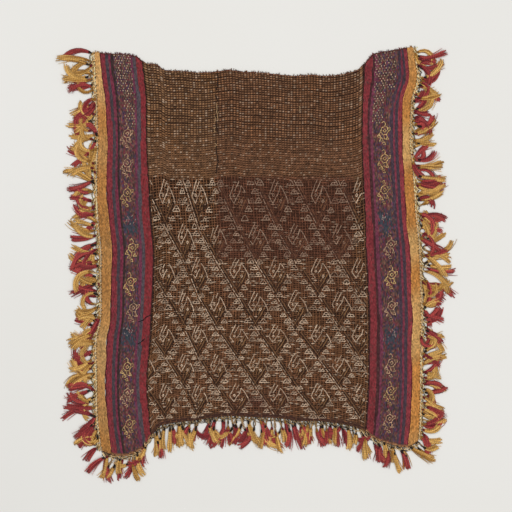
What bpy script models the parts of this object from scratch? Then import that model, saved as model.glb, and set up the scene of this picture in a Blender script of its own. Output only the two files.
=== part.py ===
"""Fringed openwork shoulder cloth, laid flat.

A brown field web, two striped side bands and two ochre edging tapes lie side by side, sewn edge to
edge. Three fringes edge them on the left, at the bottom and on the right. The underside lies on
z = 0, and the origin is the middle of the footprint. Tables and sizes below are in millimetres.
"""

import math
import random

import bmesh
import bpy
from mathutils import Vector

MM = 0.001

# Thickness of the webs
FIELD_THICK = 1.6
BAND_THICK = 1.8
TAPE_THICK = 2.2

# Room between two pieces that are sewn edge to edge
GAP = 0.3

# How finely each web is divided
ROWS = 41
FIELD_COLUMNS = 22
BAND_COLUMNS = 4
TAPE_COLUMNS = 1

# Header cord of a fringe, and the tufts that grow from it: each row or column of a web has
# STRETCHES stretches of cord beside it, and every second one roots a tuft
HEADER_WIDE = 3.0
HEADER_THICK = 2.4
HEADER_GAP = 0.4
STRETCHES = 3
TUFT_EVERY = 2
NECK_WIDE = 2.2
NECK_THICK = 1.8
BELLY_WIDE = 6.6
BELLY_THICK = 4.2
TIP_WIDE = 4.4
TIP_THICK = 2.0
NECK_AT = 0.26
BELLY_AT = 0.66
TOP_SHARE = 0.64
SHORTEST_TUFT = 0.76
LEAN_JITTER = 2.0
BEND = 8.0
BEND_RUN = 31.0
TUFT_SEED = 11
# The side of the header cord's section, counted round it, that the tufts grow from
OUTER_WALL = 2

# The six long edges where webs meet or end, read down the cloth
# y, left tape outside, left band outside, field left, field right, right band outside, right tape outside
LONG_EDGES = (
    (330, -240.0, -233.0, -171.0, 163.0, 226.0, 236.0),
    (306, -240.0, -232.5, -169.5, 163.0, 229.5, 240.0),
    (276, -238.5, -229.5, -166.0, 163.0, 231.0, 243.0),
    (246, -237.0, -225.0, -163.5, 162.0, 222.0, 234.5),
    (186, -235.5, -222.0, -163.0, 161.0, 220.5, 232.5),
    (126, -237.0, -223.5, -160.0, 163.0, 223.5, 237.5),
    (66, -235.0, -219.0, -156.0, 166.0, 227.0, 241.5),
    (21, -230.5, -214.5, -152.0, 166.5, 232.0, 246.0),
    (-24, -230.5, -216.0, -152.5, 169.0, 234.0, 247.5),
    (-84, -231.0, -217.0, -155.5, 171.5, 236.0, 249.0),
    (-114, -237.5, -222.0, -157.0, 171.0, 235.0, 248.5),
    (-174, -237.0, -224.0, -162.5, 170.5, 235.0, 247.5),
    (-234, -235.5, -222.0, -158.5, 167.0, 232.5, 247.0),
    (-290, -228.0, -215.0, -151.0, 163.0, 228.0, 243.0),
)

# Raw upper edge: x, y
TOP_EDGE = (
    (-240, 318), (-231, 316.5), (-179, 312), (-165, 301.5), (-147, 298.5), (-138, 291),
    (-112, 289.5), (-88, 287), (-64, 288), (-39, 291), (-19, 288), (2, 287.5),
    (26, 285), (58, 282), (83, 283.5), (110, 282), (138, 286), (157, 293),
    (172, 310), (178, 315), (210, 321), (227, 324), (240, 325.5),
)

# Lower edge: x, y
BOTTOM_EDGE = (
    (-231, -279), (-213, -285), (-192, -285), (-167, -272), (-152, -251), (-138, -240),
    (-88, -232.5), (-39, -226.5), (2, -228), (38, -229.5), (70, -234), (99, -234),
    (138, -240), (163, -247), (178, -259), (198, -267), (230, -273), (246, -264),
)

# Soft folds, each a low ridge: from x, from y, to x, to y, half width, height
FOLDS = (
    (-57, 262, -57, 18, 13, 3.0),
    (30, 262, 22, 150, 17, 2.0),
    (96, 240, 104, 150, 15, 1.8),
    (146, 170, 150, 96, 12, 2.2),
    (-157, -78, -189, -93, 12, 3.6),
    (-166, -114, -178, -124, 11, 2.6),
    (205, 36, 214, -54, 15, 2.6),
    (-212, 290, -204, 236, 14, 3.0),
    (212, 296, 206, 244, 14, 3.0),
    (-204, -252, -199, -206, 14, 2.6),
    (-84, -206, -72, -160, 15, 2.2),
    (66, -210, 58, -160, 15, 2.2),
    (186, -236, 180, -190, 14, 2.6),
    (-20, 60, 40, -20, 18, 1.8),
)

# Fringes. Left and right: y, reach of the longest tufts, lean towards the bottom in degrees
LEFT_FRINGE = (
    (320, 56, -4), (290, 62, 2), (246, 55, 6), (171, 53, 2), (96, 49, 6), (66, 39, 0),
    (36, 53, -3), (-33, 57, 4), (-84, 46, 6), (-150, 55, 2), (-219, 52, 12), (-262, 46, 26),
    (-282, 44, 38),
)
RIGHT_FRINGE = (
    (326, 46, -8), (300, 51, 4), (261, 47, 6), (224, 41, 0), (171, 46, -4), (118, 53, 4),
    (36, 57, 4), (-27, 56, 2), (-54, 42, 6), (-114, 47, 2), (-180, 44, 6), (-240, 45, 18),
    (-272, 42, 34),
)
# Bottom: x, reach of the longest tufts, lean towards the right in degrees
BOTTOM_FRINGE = (
    (-232, 54, -24), (-205, 50, -12), (-170, 46, -3), (-152, 52, 0), (-138, 54, 0), (-88, 48, -2),
    (-39, 53, 2), (2, 55, -2), (24, 60, 1), (70, 47, 3), (120, 46, 0), (138, 46, 0),
    (163, 51, 2), (190, 44, 4), (218, 46, 14), (244, 46, 30),
)


def smooth_read(table, at, column):
    """Read a column at a place between rows, on one smooth curve through the rows."""
    rows = sorted(table)
    at = min(max(at, rows[0][0]), rows[-1][0])
    low = 0
    while low < len(rows) - 2 and rows[low + 1][0] < at:
        low += 1

    def slope(k):
        before = rows[max(k - 1, 0)]
        after = rows[min(k + 1, len(rows) - 1)]
        return (after[column] - before[column]) / (after[0] - before[0])

    here, there = rows[low], rows[low + 1]
    run = there[0] - here[0]
    t = (at - here[0]) / run
    rise = there[column] - here[column]
    return (
        here[column]
        + rise * t * t * (3 - 2 * t)
        + slope(low) * run * t * (1 - t) ** 2
        - slope(low + 1) * run * t * t * (1 - t)
    )


def relief(x, y):
    """Height of the cloth's underside over the ground: zero but on a fold."""
    height = 0.0
    for x0, y0, x1, y1, half_width, rise in FOLDS:
        start = Vector((x0, y0))
        run = Vector((x1, y1)) - start
        along = (Vector((x, y)) - start).dot(run) / run.length_squared
        nearest = start + run * min(max(along, 0.0), 1.0)
        away = (Vector((x, y)) - nearest).length / half_width
        if away < 1.0:
            height = max(height, rise * math.cos(away * math.pi / 2) ** 2)
    return height


def long_edge_end(column, table):
    """The point where a long edge meets the upper or the lower edge."""
    y = table[0][1]
    for _ in range(8):
        y = smooth_read(table, smooth_read(LONG_EDGES, y, column), 1)
    return smooth_read(LONG_EDGES, y, column), y


def web_points(left, right, columns, left_gap, right_gap):
    """Rows of x, y points that fill the web between two long edges, from the top down."""
    top = [long_edge_end(column, TOP_EDGE) for column in (left, right)]
    bottom = [long_edge_end(column, BOTTOM_EDGE) for column in (left, right)]
    rows = []
    for j in range(ROWS + 1):
        row = []
        for i in range(columns + 1):
            u = i / columns
            top_y = smooth_read(TOP_EDGE, top[0][0] + (top[1][0] - top[0][0]) * u, 1)
            bottom_y = smooth_read(BOTTOM_EDGE, bottom[0][0] + (bottom[1][0] - bottom[0][0]) * u, 1)
            y = top_y + (bottom_y - top_y) * j / ROWS
            x0 = smooth_read(LONG_EDGES, y, left)
            x1 = smooth_read(LONG_EDGES, y, right)
            x = x0 + (x1 - x0) * u
            if i == 0:
                x += left_gap
            if i == columns:
                x -= right_gap
            row.append((x, y))
        rows.append(row)
    return rows


def linear(channel):
    """Turn one sRGB channel, 0 to 255, to a linear value."""
    value = channel / 255
    return value / 12.92 if value <= 0.04045 else ((value + 0.055) / 1.055) ** 2.4


def cloth_material(name, colour, roughness):
    material = bpy.data.materials.new(name)
    material.use_nodes = True
    shader = material.node_tree.nodes["Principled BSDF"]
    rgb = [linear(int(colour[k:k + 2], 16)) for k in (1, 3, 5)]
    shader.inputs["Base Color"].default_value = (*rgb, 1.0)
    shader.inputs["Roughness"].default_value = roughness
    shader.inputs["Metallic"].default_value = 0.0
    material.diffuse_color = (*rgb, 1.0)
    return material


def new_object(name, bm, material):
    bmesh.ops.recalc_face_normals(bm, faces=bm.faces)
    mesh = bpy.data.meshes.new(name)
    bm.to_mesh(mesh)
    bm.free()
    mesh.materials.append(material)
    piece = bpy.data.objects.new(name, mesh)
    bpy.context.scene.collection.objects.link(piece)
    return piece


def web(name, rows, thick, material):
    """A thin closed sheet on the folds, its underside flat on the ground between them."""
    bm = bmesh.new()
    layers = []
    for lift in (0.0, thick):
        layers.append([
            [bm.verts.new(Vector((x, y, relief(x, y) + lift)) * MM) for x, y in row] for row in rows
        ])
    under, upper = layers
    last = len(rows[0]) - 1
    for j in range(len(rows) - 1):
        for i in range(last):
            for layer in layers:
                bm.faces.new((layer[j][i], layer[j + 1][i], layer[j + 1][i + 1], layer[j][i + 1]))
        for i in (0, last):
            bm.faces.new((under[j][i], under[j + 1][i], upper[j + 1][i], upper[j][i]))
    for j in (0, len(rows) - 1):
        for i in range(last):
            bm.faces.new((under[j][i], under[j][i + 1], upper[j][i + 1], upper[j][i]))
    return new_object(name, bm, material)


def divided(points, parts):
    """The same broken line with each of its stretches cut into equal parts."""
    line = [points[0]]
    for (x0, y0), (x1, y1) in zip(points, points[1:]):
        for k in range(1, parts + 1):
            line.append((x0 + (x1 - x0) * k / parts, y0 + (y1 - y0) * k / parts))
    return line


def tuft_ring(bm, centre, heading, wide, thick):
    """Four corners across a tuft, the lower two on the ground."""
    side = Vector((-math.sin(heading), math.cos(heading)))
    ring = []
    for share, z in ((-0.5, 0.0), (0.5, 0.0), (0.5 * TOP_SHARE, thick), (-0.5 * TOP_SHARE, thick)):
        at = centre + side * wide * share
        ring.append(bm.verts.new(Vector((at.x, at.y, z)) * MM))
    return ring


def fringe(name, line, outward, table, by_row, material, seed):
    """A header cord along a line, with a tuft growing from every second stretch of its outer wall.

    outward is the heading of the tufts, in degrees; by_row is 1 where the table is read by y.
    """
    picks = random.Random(seed)
    bm = bmesh.new()
    push = Vector((math.cos(math.radians(outward)), math.sin(math.radians(outward))))
    corners = []
    for point in line:
        inner = Vector(point) + push * HEADER_GAP
        outer = inner + push * HEADER_WIDE
        corners.append([
            bm.verts.new(Vector((at.x, at.y, z)) * MM)
            for at, z in ((inner, 0.0), (inner, HEADER_THICK), (outer, HEADER_THICK), (outer, 0.0))
        ])
    rooted = range(TUFT_EVERY // 2, len(line) - 1, TUFT_EVERY)
    for stretch, (here, there) in enumerate(zip(corners, corners[1:])):
        for k in range(4):
            after = (k + 1) % 4
            if k != OUTER_WALL or stretch not in rooted:
                bm.faces.new((here[k], there[k], there[after], here[after]))
    bm.faces.new(corners[0])
    bm.faces.new(corners[-1])

    turn = 1.0 if outward != 0 else -1.0
    for k in rooted:
        middle = (Vector(line[k]) + Vector(line[k + 1])) / 2
        reach = smooth_read(table, middle[by_row], 1) - HEADER_WIDE
        lean = smooth_read(table, middle[by_row], 2)
        length = reach * picks.uniform(SHORTEST_TUFT, 1.0)
        heading = outward + turn * (lean + picks.uniform(-LEAN_JITTER, LEAN_JITTER))
        bend = BEND * math.sin(middle[by_row] / BEND_RUN)
        root = middle + push * (HEADER_GAP + HEADER_WIDE)
        here, there = corners[k], corners[k + 1]
        if (Vector(line[k + 1]) - Vector(line[k])).cross(push) > 0:
            here, there = there, here
        before = [here[3], there[3], there[2], here[2]]
        for share, wide, thick in (
            (NECK_AT, NECK_WIDE, NECK_THICK),
            (BELLY_AT, BELLY_WIDE, BELLY_THICK),
            (1.0, TIP_WIDE, TIP_THICK),
        ):
            angle = math.radians(heading + bend * share)
            centre = root + Vector((math.cos(angle), math.sin(angle))) * length * share
            ring = tuft_ring(bm, centre, angle, wide, thick)
            for a in range(4):
                b = (a + 1) % 4
                bm.faces.new((before[a], before[b], ring[b], ring[a]))
            before = ring
        bm.faces.new(before)
    return new_object(name, bm, material)


def centre_on_footprint(pieces):
    """Move every piece so that the origin is the middle of the whole footprint."""
    corners = [vert.co for piece in pieces for vert in piece.data.vertices]
    middle = Vector((
        (min(c.x for c in corners) + max(c.x for c in corners)) / 2,
        (min(c.y for c in corners) + max(c.y for c in corners)) / 2,
        0.0,
    ))
    for piece in pieces:
        for vert in piece.data.vertices:
            vert.co -= middle


def build():
    for old in list(bpy.data.objects):
        bpy.data.objects.remove(old)

    brown = cloth_material("brown_cotton_openwork", "#573a25", 0.9)
    band_red = cloth_material("striped_camelid_wool_left", "#6e2a38", 0.85)
    band_plum = cloth_material("striped_camelid_wool_right", "#66283a", 0.85)
    ochre_left = cloth_material("ochre_wool_tape_left", "#b07a34", 0.85)
    ochre_right = cloth_material("ochre_wool_tape_right", "#ad7833", 0.85)
    tuft_left = cloth_material("wool_tufts_left", "#b5702f", 0.9)
    tuft_bottom = cloth_material("wool_tufts_bottom", "#a8552f", 0.9)
    tuft_right = cloth_material("wool_tufts_right", "#b36f30", 0.9)

    half = GAP / 2
    tape_left = web_points(1, 2, TAPE_COLUMNS, 0.0, half)
    band_left = web_points(2, 3, BAND_COLUMNS, half, half)
    field = web_points(3, 4, FIELD_COLUMNS, half, half)
    band_right = web_points(4, 5, BAND_COLUMNS, half, half)
    tape_right = web_points(5, 6, TAPE_COLUMNS, half, 0.0)

    left_line = divided([row[0] for row in tape_left], STRETCHES)
    right_line = divided([row[-1] for row in tape_right], STRETCHES)
    lower_ends = [tape_left[-1][0]]
    for rows in (tape_left, band_left, field, band_right, tape_right):
        lower_ends += rows[-1][1:]
    bottom_line = divided(lower_ends, STRETCHES)

    pieces = [
        web("field_web", field, FIELD_THICK, brown),
        web("band_left", band_left, BAND_THICK, band_red),
        web("band_right", band_right, BAND_THICK, band_plum),
        web("tape_left", tape_left, TAPE_THICK, ochre_left),
        web("tape_right", tape_right, TAPE_THICK, ochre_right),
        fringe("fringe_left", left_line, 180, LEFT_FRINGE, 1, tuft_left, TUFT_SEED),
        fringe("fringe_bottom", bottom_line, 270, BOTTOM_FRINGE, 0, tuft_bottom, TUFT_SEED + 1),
        fringe("fringe_right", right_line, 0, RIGHT_FRINGE, 1, tuft_right, TUFT_SEED + 2),
    ]
    centre_on_footprint(pieces)


build()
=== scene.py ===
import math
import random

import bpy
import numpy as np
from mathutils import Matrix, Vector


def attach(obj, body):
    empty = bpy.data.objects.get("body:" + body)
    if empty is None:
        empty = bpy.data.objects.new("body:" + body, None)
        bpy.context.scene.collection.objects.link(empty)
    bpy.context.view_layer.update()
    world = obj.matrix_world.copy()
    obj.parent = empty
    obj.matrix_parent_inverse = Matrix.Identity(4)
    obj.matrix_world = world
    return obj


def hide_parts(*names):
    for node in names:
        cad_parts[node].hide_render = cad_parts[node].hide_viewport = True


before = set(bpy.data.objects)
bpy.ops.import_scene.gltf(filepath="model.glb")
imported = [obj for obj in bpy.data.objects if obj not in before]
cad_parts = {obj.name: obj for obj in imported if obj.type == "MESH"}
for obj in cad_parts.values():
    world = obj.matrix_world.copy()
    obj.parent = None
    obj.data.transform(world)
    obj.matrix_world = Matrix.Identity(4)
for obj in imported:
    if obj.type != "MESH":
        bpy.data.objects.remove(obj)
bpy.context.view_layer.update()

# Looks of the fringed openwork shoulder cloth. Every web is made of its own yarns, laid out in
# millimetres on the same plan as the part's source. The plan's zero is not the model's origin:
# the middle of the footprint is.
MM = 0.001
PLAN_MIDDLE = (1.396, -2.540)
BODY = "root"

# The six long edges where webs meet or end, read down the cloth
# y, left tape outside, left band outside, field left, field right, right band outside, right tape outside
LONG_EDGES = (
    (330, -240.0, -233.0, -171.0, 163.0, 226.0, 236.0),
    (306, -240.0, -232.5, -169.5, 163.0, 229.5, 240.0),
    (276, -238.5, -229.5, -166.0, 163.0, 231.0, 243.0),
    (246, -237.0, -225.0, -163.5, 162.0, 222.0, 234.5),
    (186, -235.5, -222.0, -163.0, 161.0, 220.5, 232.5),
    (126, -237.0, -223.5, -160.0, 163.0, 223.5, 237.5),
    (66, -235.0, -219.0, -156.0, 166.0, 227.0, 241.5),
    (21, -230.5, -214.5, -152.0, 166.5, 232.0, 246.0),
    (-24, -230.5, -216.0, -152.5, 169.0, 234.0, 247.5),
    (-84, -231.0, -217.0, -155.5, 171.5, 236.0, 249.0),
    (-114, -237.5, -222.0, -157.0, 171.0, 235.0, 248.5),
    (-174, -237.0, -224.0, -162.5, 170.5, 235.0, 247.5),
    (-234, -235.5, -222.0, -158.5, 167.0, 232.5, 247.0),
    (-290, -228.0, -215.0, -151.0, 163.0, 228.0, 243.0),
)

# Each web is named by the long edge at its left
LEFT_TAPE = 1
LEFT_BAND = 2
FIELD = 3
RIGHT_BAND = 4
RIGHT_TAPE = 5

# Raw upper edge: x, y
TOP_EDGE = (
    (-240, 318), (-231, 316.5), (-179, 312), (-165, 301.5), (-147, 298.5), (-138, 291),
    (-112, 289.5), (-88, 287), (-64, 288), (-39, 291), (-19, 288), (2, 287.5),
    (26, 285), (58, 282), (83, 283.5), (110, 282), (138, 286), (157, 293),
    (172, 310), (178, 315), (210, 321), (227, 324), (240, 325.5),
)

# Lower edge: x, y
BOTTOM_EDGE = (
    (-231, -279), (-213, -285), (-192, -285), (-167, -272), (-152, -251), (-138, -240),
    (-88, -232.5), (-39, -226.5), (2, -228), (38, -229.5), (70, -234), (99, -234),
    (138, -240), (163, -247), (178, -259), (198, -267), (230, -273), (246, -264),
)

# Soft folds, each a low ridge: from x, from y, to x, to y, half width, height
FOLDS = (
    (-57, 262, -57, 18, 13, 3.0),
    (30, 262, 22, 150, 17, 2.0),
    (96, 240, 104, 150, 15, 1.8),
    (146, 170, 150, 96, 12, 2.2),
    (-157, -78, -189, -93, 12, 3.6),
    (-166, -114, -178, -124, 11, 2.6),
    (205, 36, 214, -54, 15, 2.6),
    (-212, 290, -204, 236, 14, 3.0),
    (212, 296, 206, 244, 14, 3.0),
    (-204, -252, -199, -206, 14, 2.6),
    (-84, -206, -72, -160, 15, 2.2),
    (66, -210, 58, -160, 15, 2.2),
    (186, -236, 180, -190, 14, 2.6),
    (-20, 60, 40, -20, 18, 1.8),
)

# Fringes. Left and right: y, reach of the longest tufts, lean towards the bottom in degrees
LEFT_FRINGE = (
    (320, 56, -4), (290, 62, 2), (246, 55, 6), (171, 53, 2), (96, 49, 6), (66, 39, 0),
    (36, 53, -3), (-33, 57, 4), (-84, 46, 6), (-150, 55, 2), (-219, 52, 12), (-262, 46, 26),
    (-282, 44, 38),
)
RIGHT_FRINGE = (
    (326, 46, -8), (300, 51, 4), (261, 47, 6), (224, 41, 0), (171, 46, -4), (118, 53, 4),
    (36, 57, 4), (-27, 56, 2), (-54, 42, 6), (-114, 47, 2), (-180, 44, 6), (-240, 45, 18),
    (-272, 42, 34),
)
# Bottom: x, reach of the longest tufts, lean towards the right in degrees
BOTTOM_FRINGE = (
    (-232, 54, -24), (-205, 50, -12), (-170, 46, -3), (-152, 52, 0), (-138, 54, 0), (-88, 48, -2),
    (-39, 53, 2), (2, 55, -2), (24, 60, 1), (70, 47, 3), (120, 46, 0), (138, 46, 0),
    (163, 51, 2), (190, 44, 4), (218, 46, 14), (244, 46, 30),
)

# Tries that bring a long edge's end to far less than a yarn from its true place
EDGE_TRIES = 8

# How the part's source divides the webs and roots the tufts; the tufts here grow from the same places
GAP = 0.3
ROWS = 41
WEB_COLUMNS = (1, 4, 22, 4, 1)
STRETCHES = 3
TUFT_EVERY = 2
HEADER_WIDE = 3.0
HEADER_GAP = 0.4
SHORTEST_TUFT = 0.76
LEAN_JITTER = 2.0
BEND = 8.0
BEND_RUN = 31.0

# The field's yarns. In the open part the real ones cross about every 4.3 by 3.4 mm, and so do these.
# The lattice part is woven closer, too fine to show, so it is drawn as coarse as its stitches need
WARPS = 76
OPEN_WEFTS = 46
WEFTS_PER_ROW = 16
# Their thickness, their width and how high their middles lie, in mm. In the open part a weft dips at
# each warp and puffs up to a knuckle between two
WARP_HIGH = 1.2
WEFT_HIGH = 1.35
OPEN_WARP_WIDE = 2.1
OPEN_WARP_LIFT = 0.85
KNUCKLE_WIDE = 2.75
KNUCKLE_LIFT = 1.45
DIP_WIDE = 1.7
DIP_LIFT = 1.05
CLOSE_WIDE = 1.85
CLOSE_LIFT = 1.15
# How far a yarn of the lattice part rises where it lies over another, and how much lighter it is painted
# there and darker where it lies under: painted light and shade
OVER_RISE = 0.3
PAINTED_OVER_UNDER_SHADE = 0.28
# How unevenly the yarns took the dye, from stitch to stitch and, more slowly, along the web
DYE_SPREAD = 0.26
DYE_DRIFT = 0.12
# How strongly golden worn patches show, and how much redder and darker the aged parts are
GOLDEN_SHARE = 0.4
AGED_REDDER = 0.8
AGED_DARKER = 0.24
# How unevenly thick the yarns are, and how far they wander: warps in shares of their pitch, wefts in
# shares of the web's height, and the open part's wefts all together
SLUB = 0.12
CLOSE_SLUB = 0.14
WARP_WANDER = 0.12
OPEN_WANDER = 0.0009
CLOSE_WANDER = 0.0008
SAG = 0.0045
# The open weave lies closer from this share of the web's height on, over so much of it, so far
CLOSER_FROM = 0.17
CLOSER_OVER = 0.06
CLOSEST = 0.75
# Shares of the stitches where a run of paler yarn starts, and how pale it is in the open part
OPEN_PALE_SHARE = 0.09
OPEN_PALENESS = 0.7
CLOSE_PALE_SHARE = 0.11
# The dark sheet behind the yarns, painted shade for the holes of the mesh: its thickness, and its rows and
# columns of points
SHADE_SHEET_THICK = 0.2
SHADE_SHEET_ROWS = 84
SHADE_SHEET_COLUMNS = 60

# One seed for each thing that is uneven, so that every run weaves the same cloth
SEEDS = dict(
    weft_places=3, warp_places=4, warp_sway=5, warp_width=6, warp_dye=7,
    weft_sway=8, weft_width=9, weft_dye=10, weft_pale=12, weft_sag=13,
    close_sway=18, close_width=19, close_dye=20, close_pale=22,
    pyramids=21, brocade=31, seams=91, threads=95, tufts=11,
    band_left=41, band_right=51, motifs_left=43, motifs_right=53, tape_left=61, tape_right=71,
)


def paint(code):
    """Turn an sRGB hex value to linear red, green, blue and alpha, by the sRGB curve."""
    channels = np.array([int(code[k:k + 2], 16) for k in (1, 3, 5)]) / 255
    low = channels / 12.92
    high = ((channels + 0.055) / 1.055) ** 2.4
    return (*np.where(channels <= 0.04045, low, high).tolist(), 1.0)


def dye(code):
    """The same as paint, as an array of three for the yarn builder."""
    return np.array(paint(code)[:3])


def blend(first, second, share):
    """Mix two dyes, point by point."""
    share = np.clip(np.asarray(share, float), 0.0, 1.0)[..., None]
    return first * (1 - share) + second * share


def smooth_read(table, at, column):
    """Read a column at places between rows, on one smooth curve through the rows."""
    rows = np.array(sorted(table), float)
    key = rows[:, 0]
    value = rows[:, column]
    place = np.arange(len(key))
    before = np.maximum(place - 1, 0)
    after = np.minimum(place + 1, len(key) - 1)
    slope = (value[after] - value[before]) / (key[after] - key[before])
    at = np.clip(at, key[0], key[-1])
    low = np.clip(np.searchsorted(key, at) - 1, 0, len(key) - 2)
    run = key[low + 1] - key[low]
    t = (at - key[low]) / run
    rise = value[low + 1] - value[low]
    return (
        value[low]
        + rise * t * t * (3 - 2 * t)
        + slope[low] * run * t * (1 - t) ** 2
        - slope[low + 1] * run * t * t * (1 - t)
    )


def relief(x, y):
    """Height of the cloth's underside over the ground: zero but on a fold."""
    height = np.zeros(np.shape(x))
    for x0, y0, x1, y1, half_width, rise in FOLDS:
        length_squared = (x1 - x0) ** 2 + (y1 - y0) ** 2
        along = np.clip(((x - x0) * (x1 - x0) + (y - y0) * (y1 - y0)) / length_squared, 0.0, 1.0)
        away = np.hypot(x - x0 - along * (x1 - x0), y - y0 - along * (y1 - y0)) / half_width
        ridge = rise * np.cos(np.minimum(away, 1.0) * math.pi / 2) ** 2
        height = np.maximum(height, ridge)
    return height


def long_edge_end(column, table):
    """How far right a long edge meets the upper or the lower edge, found in a few tries."""
    y = float(table[0][1])
    for _ in range(EDGE_TRIES):
        y = float(smooth_read(table, smooth_read(LONG_EDGES, y, column), 1))
    return float(smooth_read(LONG_EDGES, y, column))


def web_place(web, u, v):
    """Plan place of points u across and v down a web, both in shares of it."""
    top = [long_edge_end(column, TOP_EDGE) for column in (web, web + 1)]
    bottom = [long_edge_end(column, BOTTOM_EDGE) for column in (web, web + 1)]
    top_y = smooth_read(TOP_EDGE, top[0] + (top[1] - top[0]) * u, 1)
    bottom_y = smooth_read(BOTTOM_EDGE, bottom[0] + (bottom[1] - bottom[0]) * u, 1)
    y = top_y + (bottom_y - top_y) * v
    x0 = smooth_read(LONG_EDGES, y, web) + GAP / 2
    x1 = smooth_read(LONG_EDGES, y, web + 1) - GAP / 2
    return x0 + (x1 - x0) * u, y


def wander(seed, lines, points, step):
    """Slow smooth noise from -1 to 1 along each of several lines, a new value every step points."""
    knots = np.random.default_rng(seed).uniform(-1, 1, (lines, points // step + 3))
    at = np.arange(points) / step
    low = at.astype(int)
    t = at - low
    t = t * t * (3 - 2 * t)
    return knots[:, low] * (1 - t) + knots[:, low + 1] * t


def yarns(paths, wide, high, colour, sides=4):
    """Closed yarns along rows of centre points in mm, each point with its own width, height and dye."""
    n, m = paths.shape[:2]
    run = np.gradient(paths, axis=1)
    run /= np.maximum(np.linalg.norm(run, axis=2, keepdims=True), 1e-9)
    side = np.stack((-run[..., 1], run[..., 0], np.zeros((n, m))), axis=2)
    side /= np.maximum(np.linalg.norm(side, axis=2, keepdims=True), 1e-9)
    rise = np.cross(run, side)
    turn = np.arange(sides) / sides * 2 * math.pi
    half_wide = np.broadcast_to(wide, (n, m))[..., None, None] / 2
    half_high = np.broadcast_to(high, (n, m))[..., None, None] / 2
    points = (
        paths[:, :, None]
        + side[:, :, None] * half_wide * np.cos(turn)[:, None]
        + rise[:, :, None] * half_high * np.sin(turn)[:, None]
    )
    index = np.arange(n * m * sides).reshape(n, m, sides)
    after = np.roll(index, -1, axis=2)
    walls = np.stack((index[:, :-1], after[:, :-1], after[:, 1:], index[:, 1:]), axis=-1)
    fans = np.array([(0, k, k + 1, k + 2) for k in range(1, sides - 1, 2)])
    ends = np.concatenate((index[:, 0][:, fans[:, ::-1]], index[:, -1][:, fans]))
    faces = np.concatenate((walls.reshape(-1, 4), ends.reshape(-1, 4)))

    steps = np.linalg.norm(np.diff(paths, axis=1), axis=2)
    along = np.concatenate((np.zeros((n, 1)), np.cumsum(steps, axis=1)), axis=1)
    uv = np.empty(walls.shape + (2,))
    for corner, (ahead, on) in enumerate(((0, 0), (0, 1), (1, 1), (1, 0))):
        uv[..., corner, 0] = (np.arange(sides) + on) / sides
        uv[..., corner, 1] = along[:, ahead:m - 1 + ahead, None]
    end_uv = np.zeros((ends.size // 4, 4, 2))
    uv = np.concatenate((uv.reshape(-1, 4, 2), end_uv))
    colour = np.broadcast_to(np.asarray(colour), (n, m, 3))
    colour = np.repeat(colour[:, :, None], sides, axis=2)
    return points.reshape(-1, 3), faces, uv, colour.reshape(-1, 3)


def closed_sheet(x, y, low, thick, colour):
    """A thin closed sheet over a grid of plan places, its underside at low."""
    rows, columns = x.shape
    under = np.stack((x, y, low), axis=2)
    upper = np.stack((x, y, low + thick), axis=2)
    index = np.arange(rows * columns).reshape(rows, columns)
    top = index + rows * columns
    faces = [
        np.stack((top[:-1, :-1], top[1:, :-1], top[1:, 1:], top[:-1, 1:]), axis=-1).reshape(-1, 4),
        np.stack((index[:-1, :-1], index[:-1, 1:], index[1:, 1:], index[1:, :-1]), axis=-1).reshape(-1, 4),
    ]
    rim = np.concatenate((index[:-1, 0], index[-1, :-1], index[:0:-1, -1], index[0, :0:-1]))
    beyond = np.roll(rim, -1)
    lift = rows * columns
    faces.append(np.stack((rim, beyond, beyond + lift, rim + lift), axis=-1))
    faces = np.concatenate(faces)
    points = np.concatenate((under.reshape(-1, 3), upper.reshape(-1, 3)))
    uv = points[faces][..., :2]
    return points, faces, uv, np.broadcast_to(colour, points.shape)


def make_piece(name, parts, material, slot, *nodes):
    """One piece of the cloth from its yarns. It rides on the body and may stand for CAD nodes."""
    starts = np.cumsum([0] + [len(part[0]) for part in parts[:-1]])
    points = np.concatenate([part[0] for part in parts]) - (*PLAN_MIDDLE, 0.0)
    faces = np.concatenate([part[1] + start for part, start in zip(parts, starts)])
    uv = np.concatenate([part[2] for part in parts])
    colour = np.concatenate([part[3] for part in parts])
    mesh = bpy.data.meshes.new(name)
    mesh.vertices.add(len(points))
    mesh.vertices.foreach_set("co", (points * MM).ravel())
    mesh.loops.add(faces.size)
    mesh.loops.foreach_set("vertex_index", faces.ravel().astype(np.int32))
    mesh.polygons.add(len(faces))
    mesh.polygons.foreach_set("loop_start", np.arange(0, faces.size, 4, dtype=np.int32))
    mesh.polygons.foreach_set("use_smooth", np.ones(len(faces), dtype=bool))
    mesh.update(calc_edges=True)
    mesh.uv_layers.new(name="yarn_run").data.foreach_set("uv", uv.ravel())
    rgba = np.concatenate((np.clip(colour, 0.0, 1.0), np.ones((len(points), 1))), axis=1)
    mesh.color_attributes.new("dye", "FLOAT_COLOR", "POINT").data.foreach_set("color", rgba.ravel())
    mesh.materials.append(material)
    piece = bpy.data.objects.new(name, mesh)
    bpy.context.scene.collection.objects.link(piece)
    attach(piece, BODY)
    if nodes:
        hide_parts(*nodes)
    print(f"{name}: {2 * len(faces)} triangles")
    return piece


def add_node(tree, kind, settings={}, links={}):
    """Add a node, set its sockets or properties, and link its inputs."""
    node = tree.nodes.new(kind)
    for name, value in settings.items():
        if isinstance(name, int) or name in node.inputs:
            node.inputs[name].default_value = value
        else:
            setattr(node, name, value)
    for name, source in links.items():
        tree.links.new(source, node.inputs[name])
    return node


# Fuzz of spun wool: its grain in mm, and how far it changes the roughness
FUZZ_SIZE = 0.7
FUZZ_ROUGHNESS = 0.08
# How deep the plies sink between one another, in mm
PLY_RELIEF = 0.25


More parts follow.
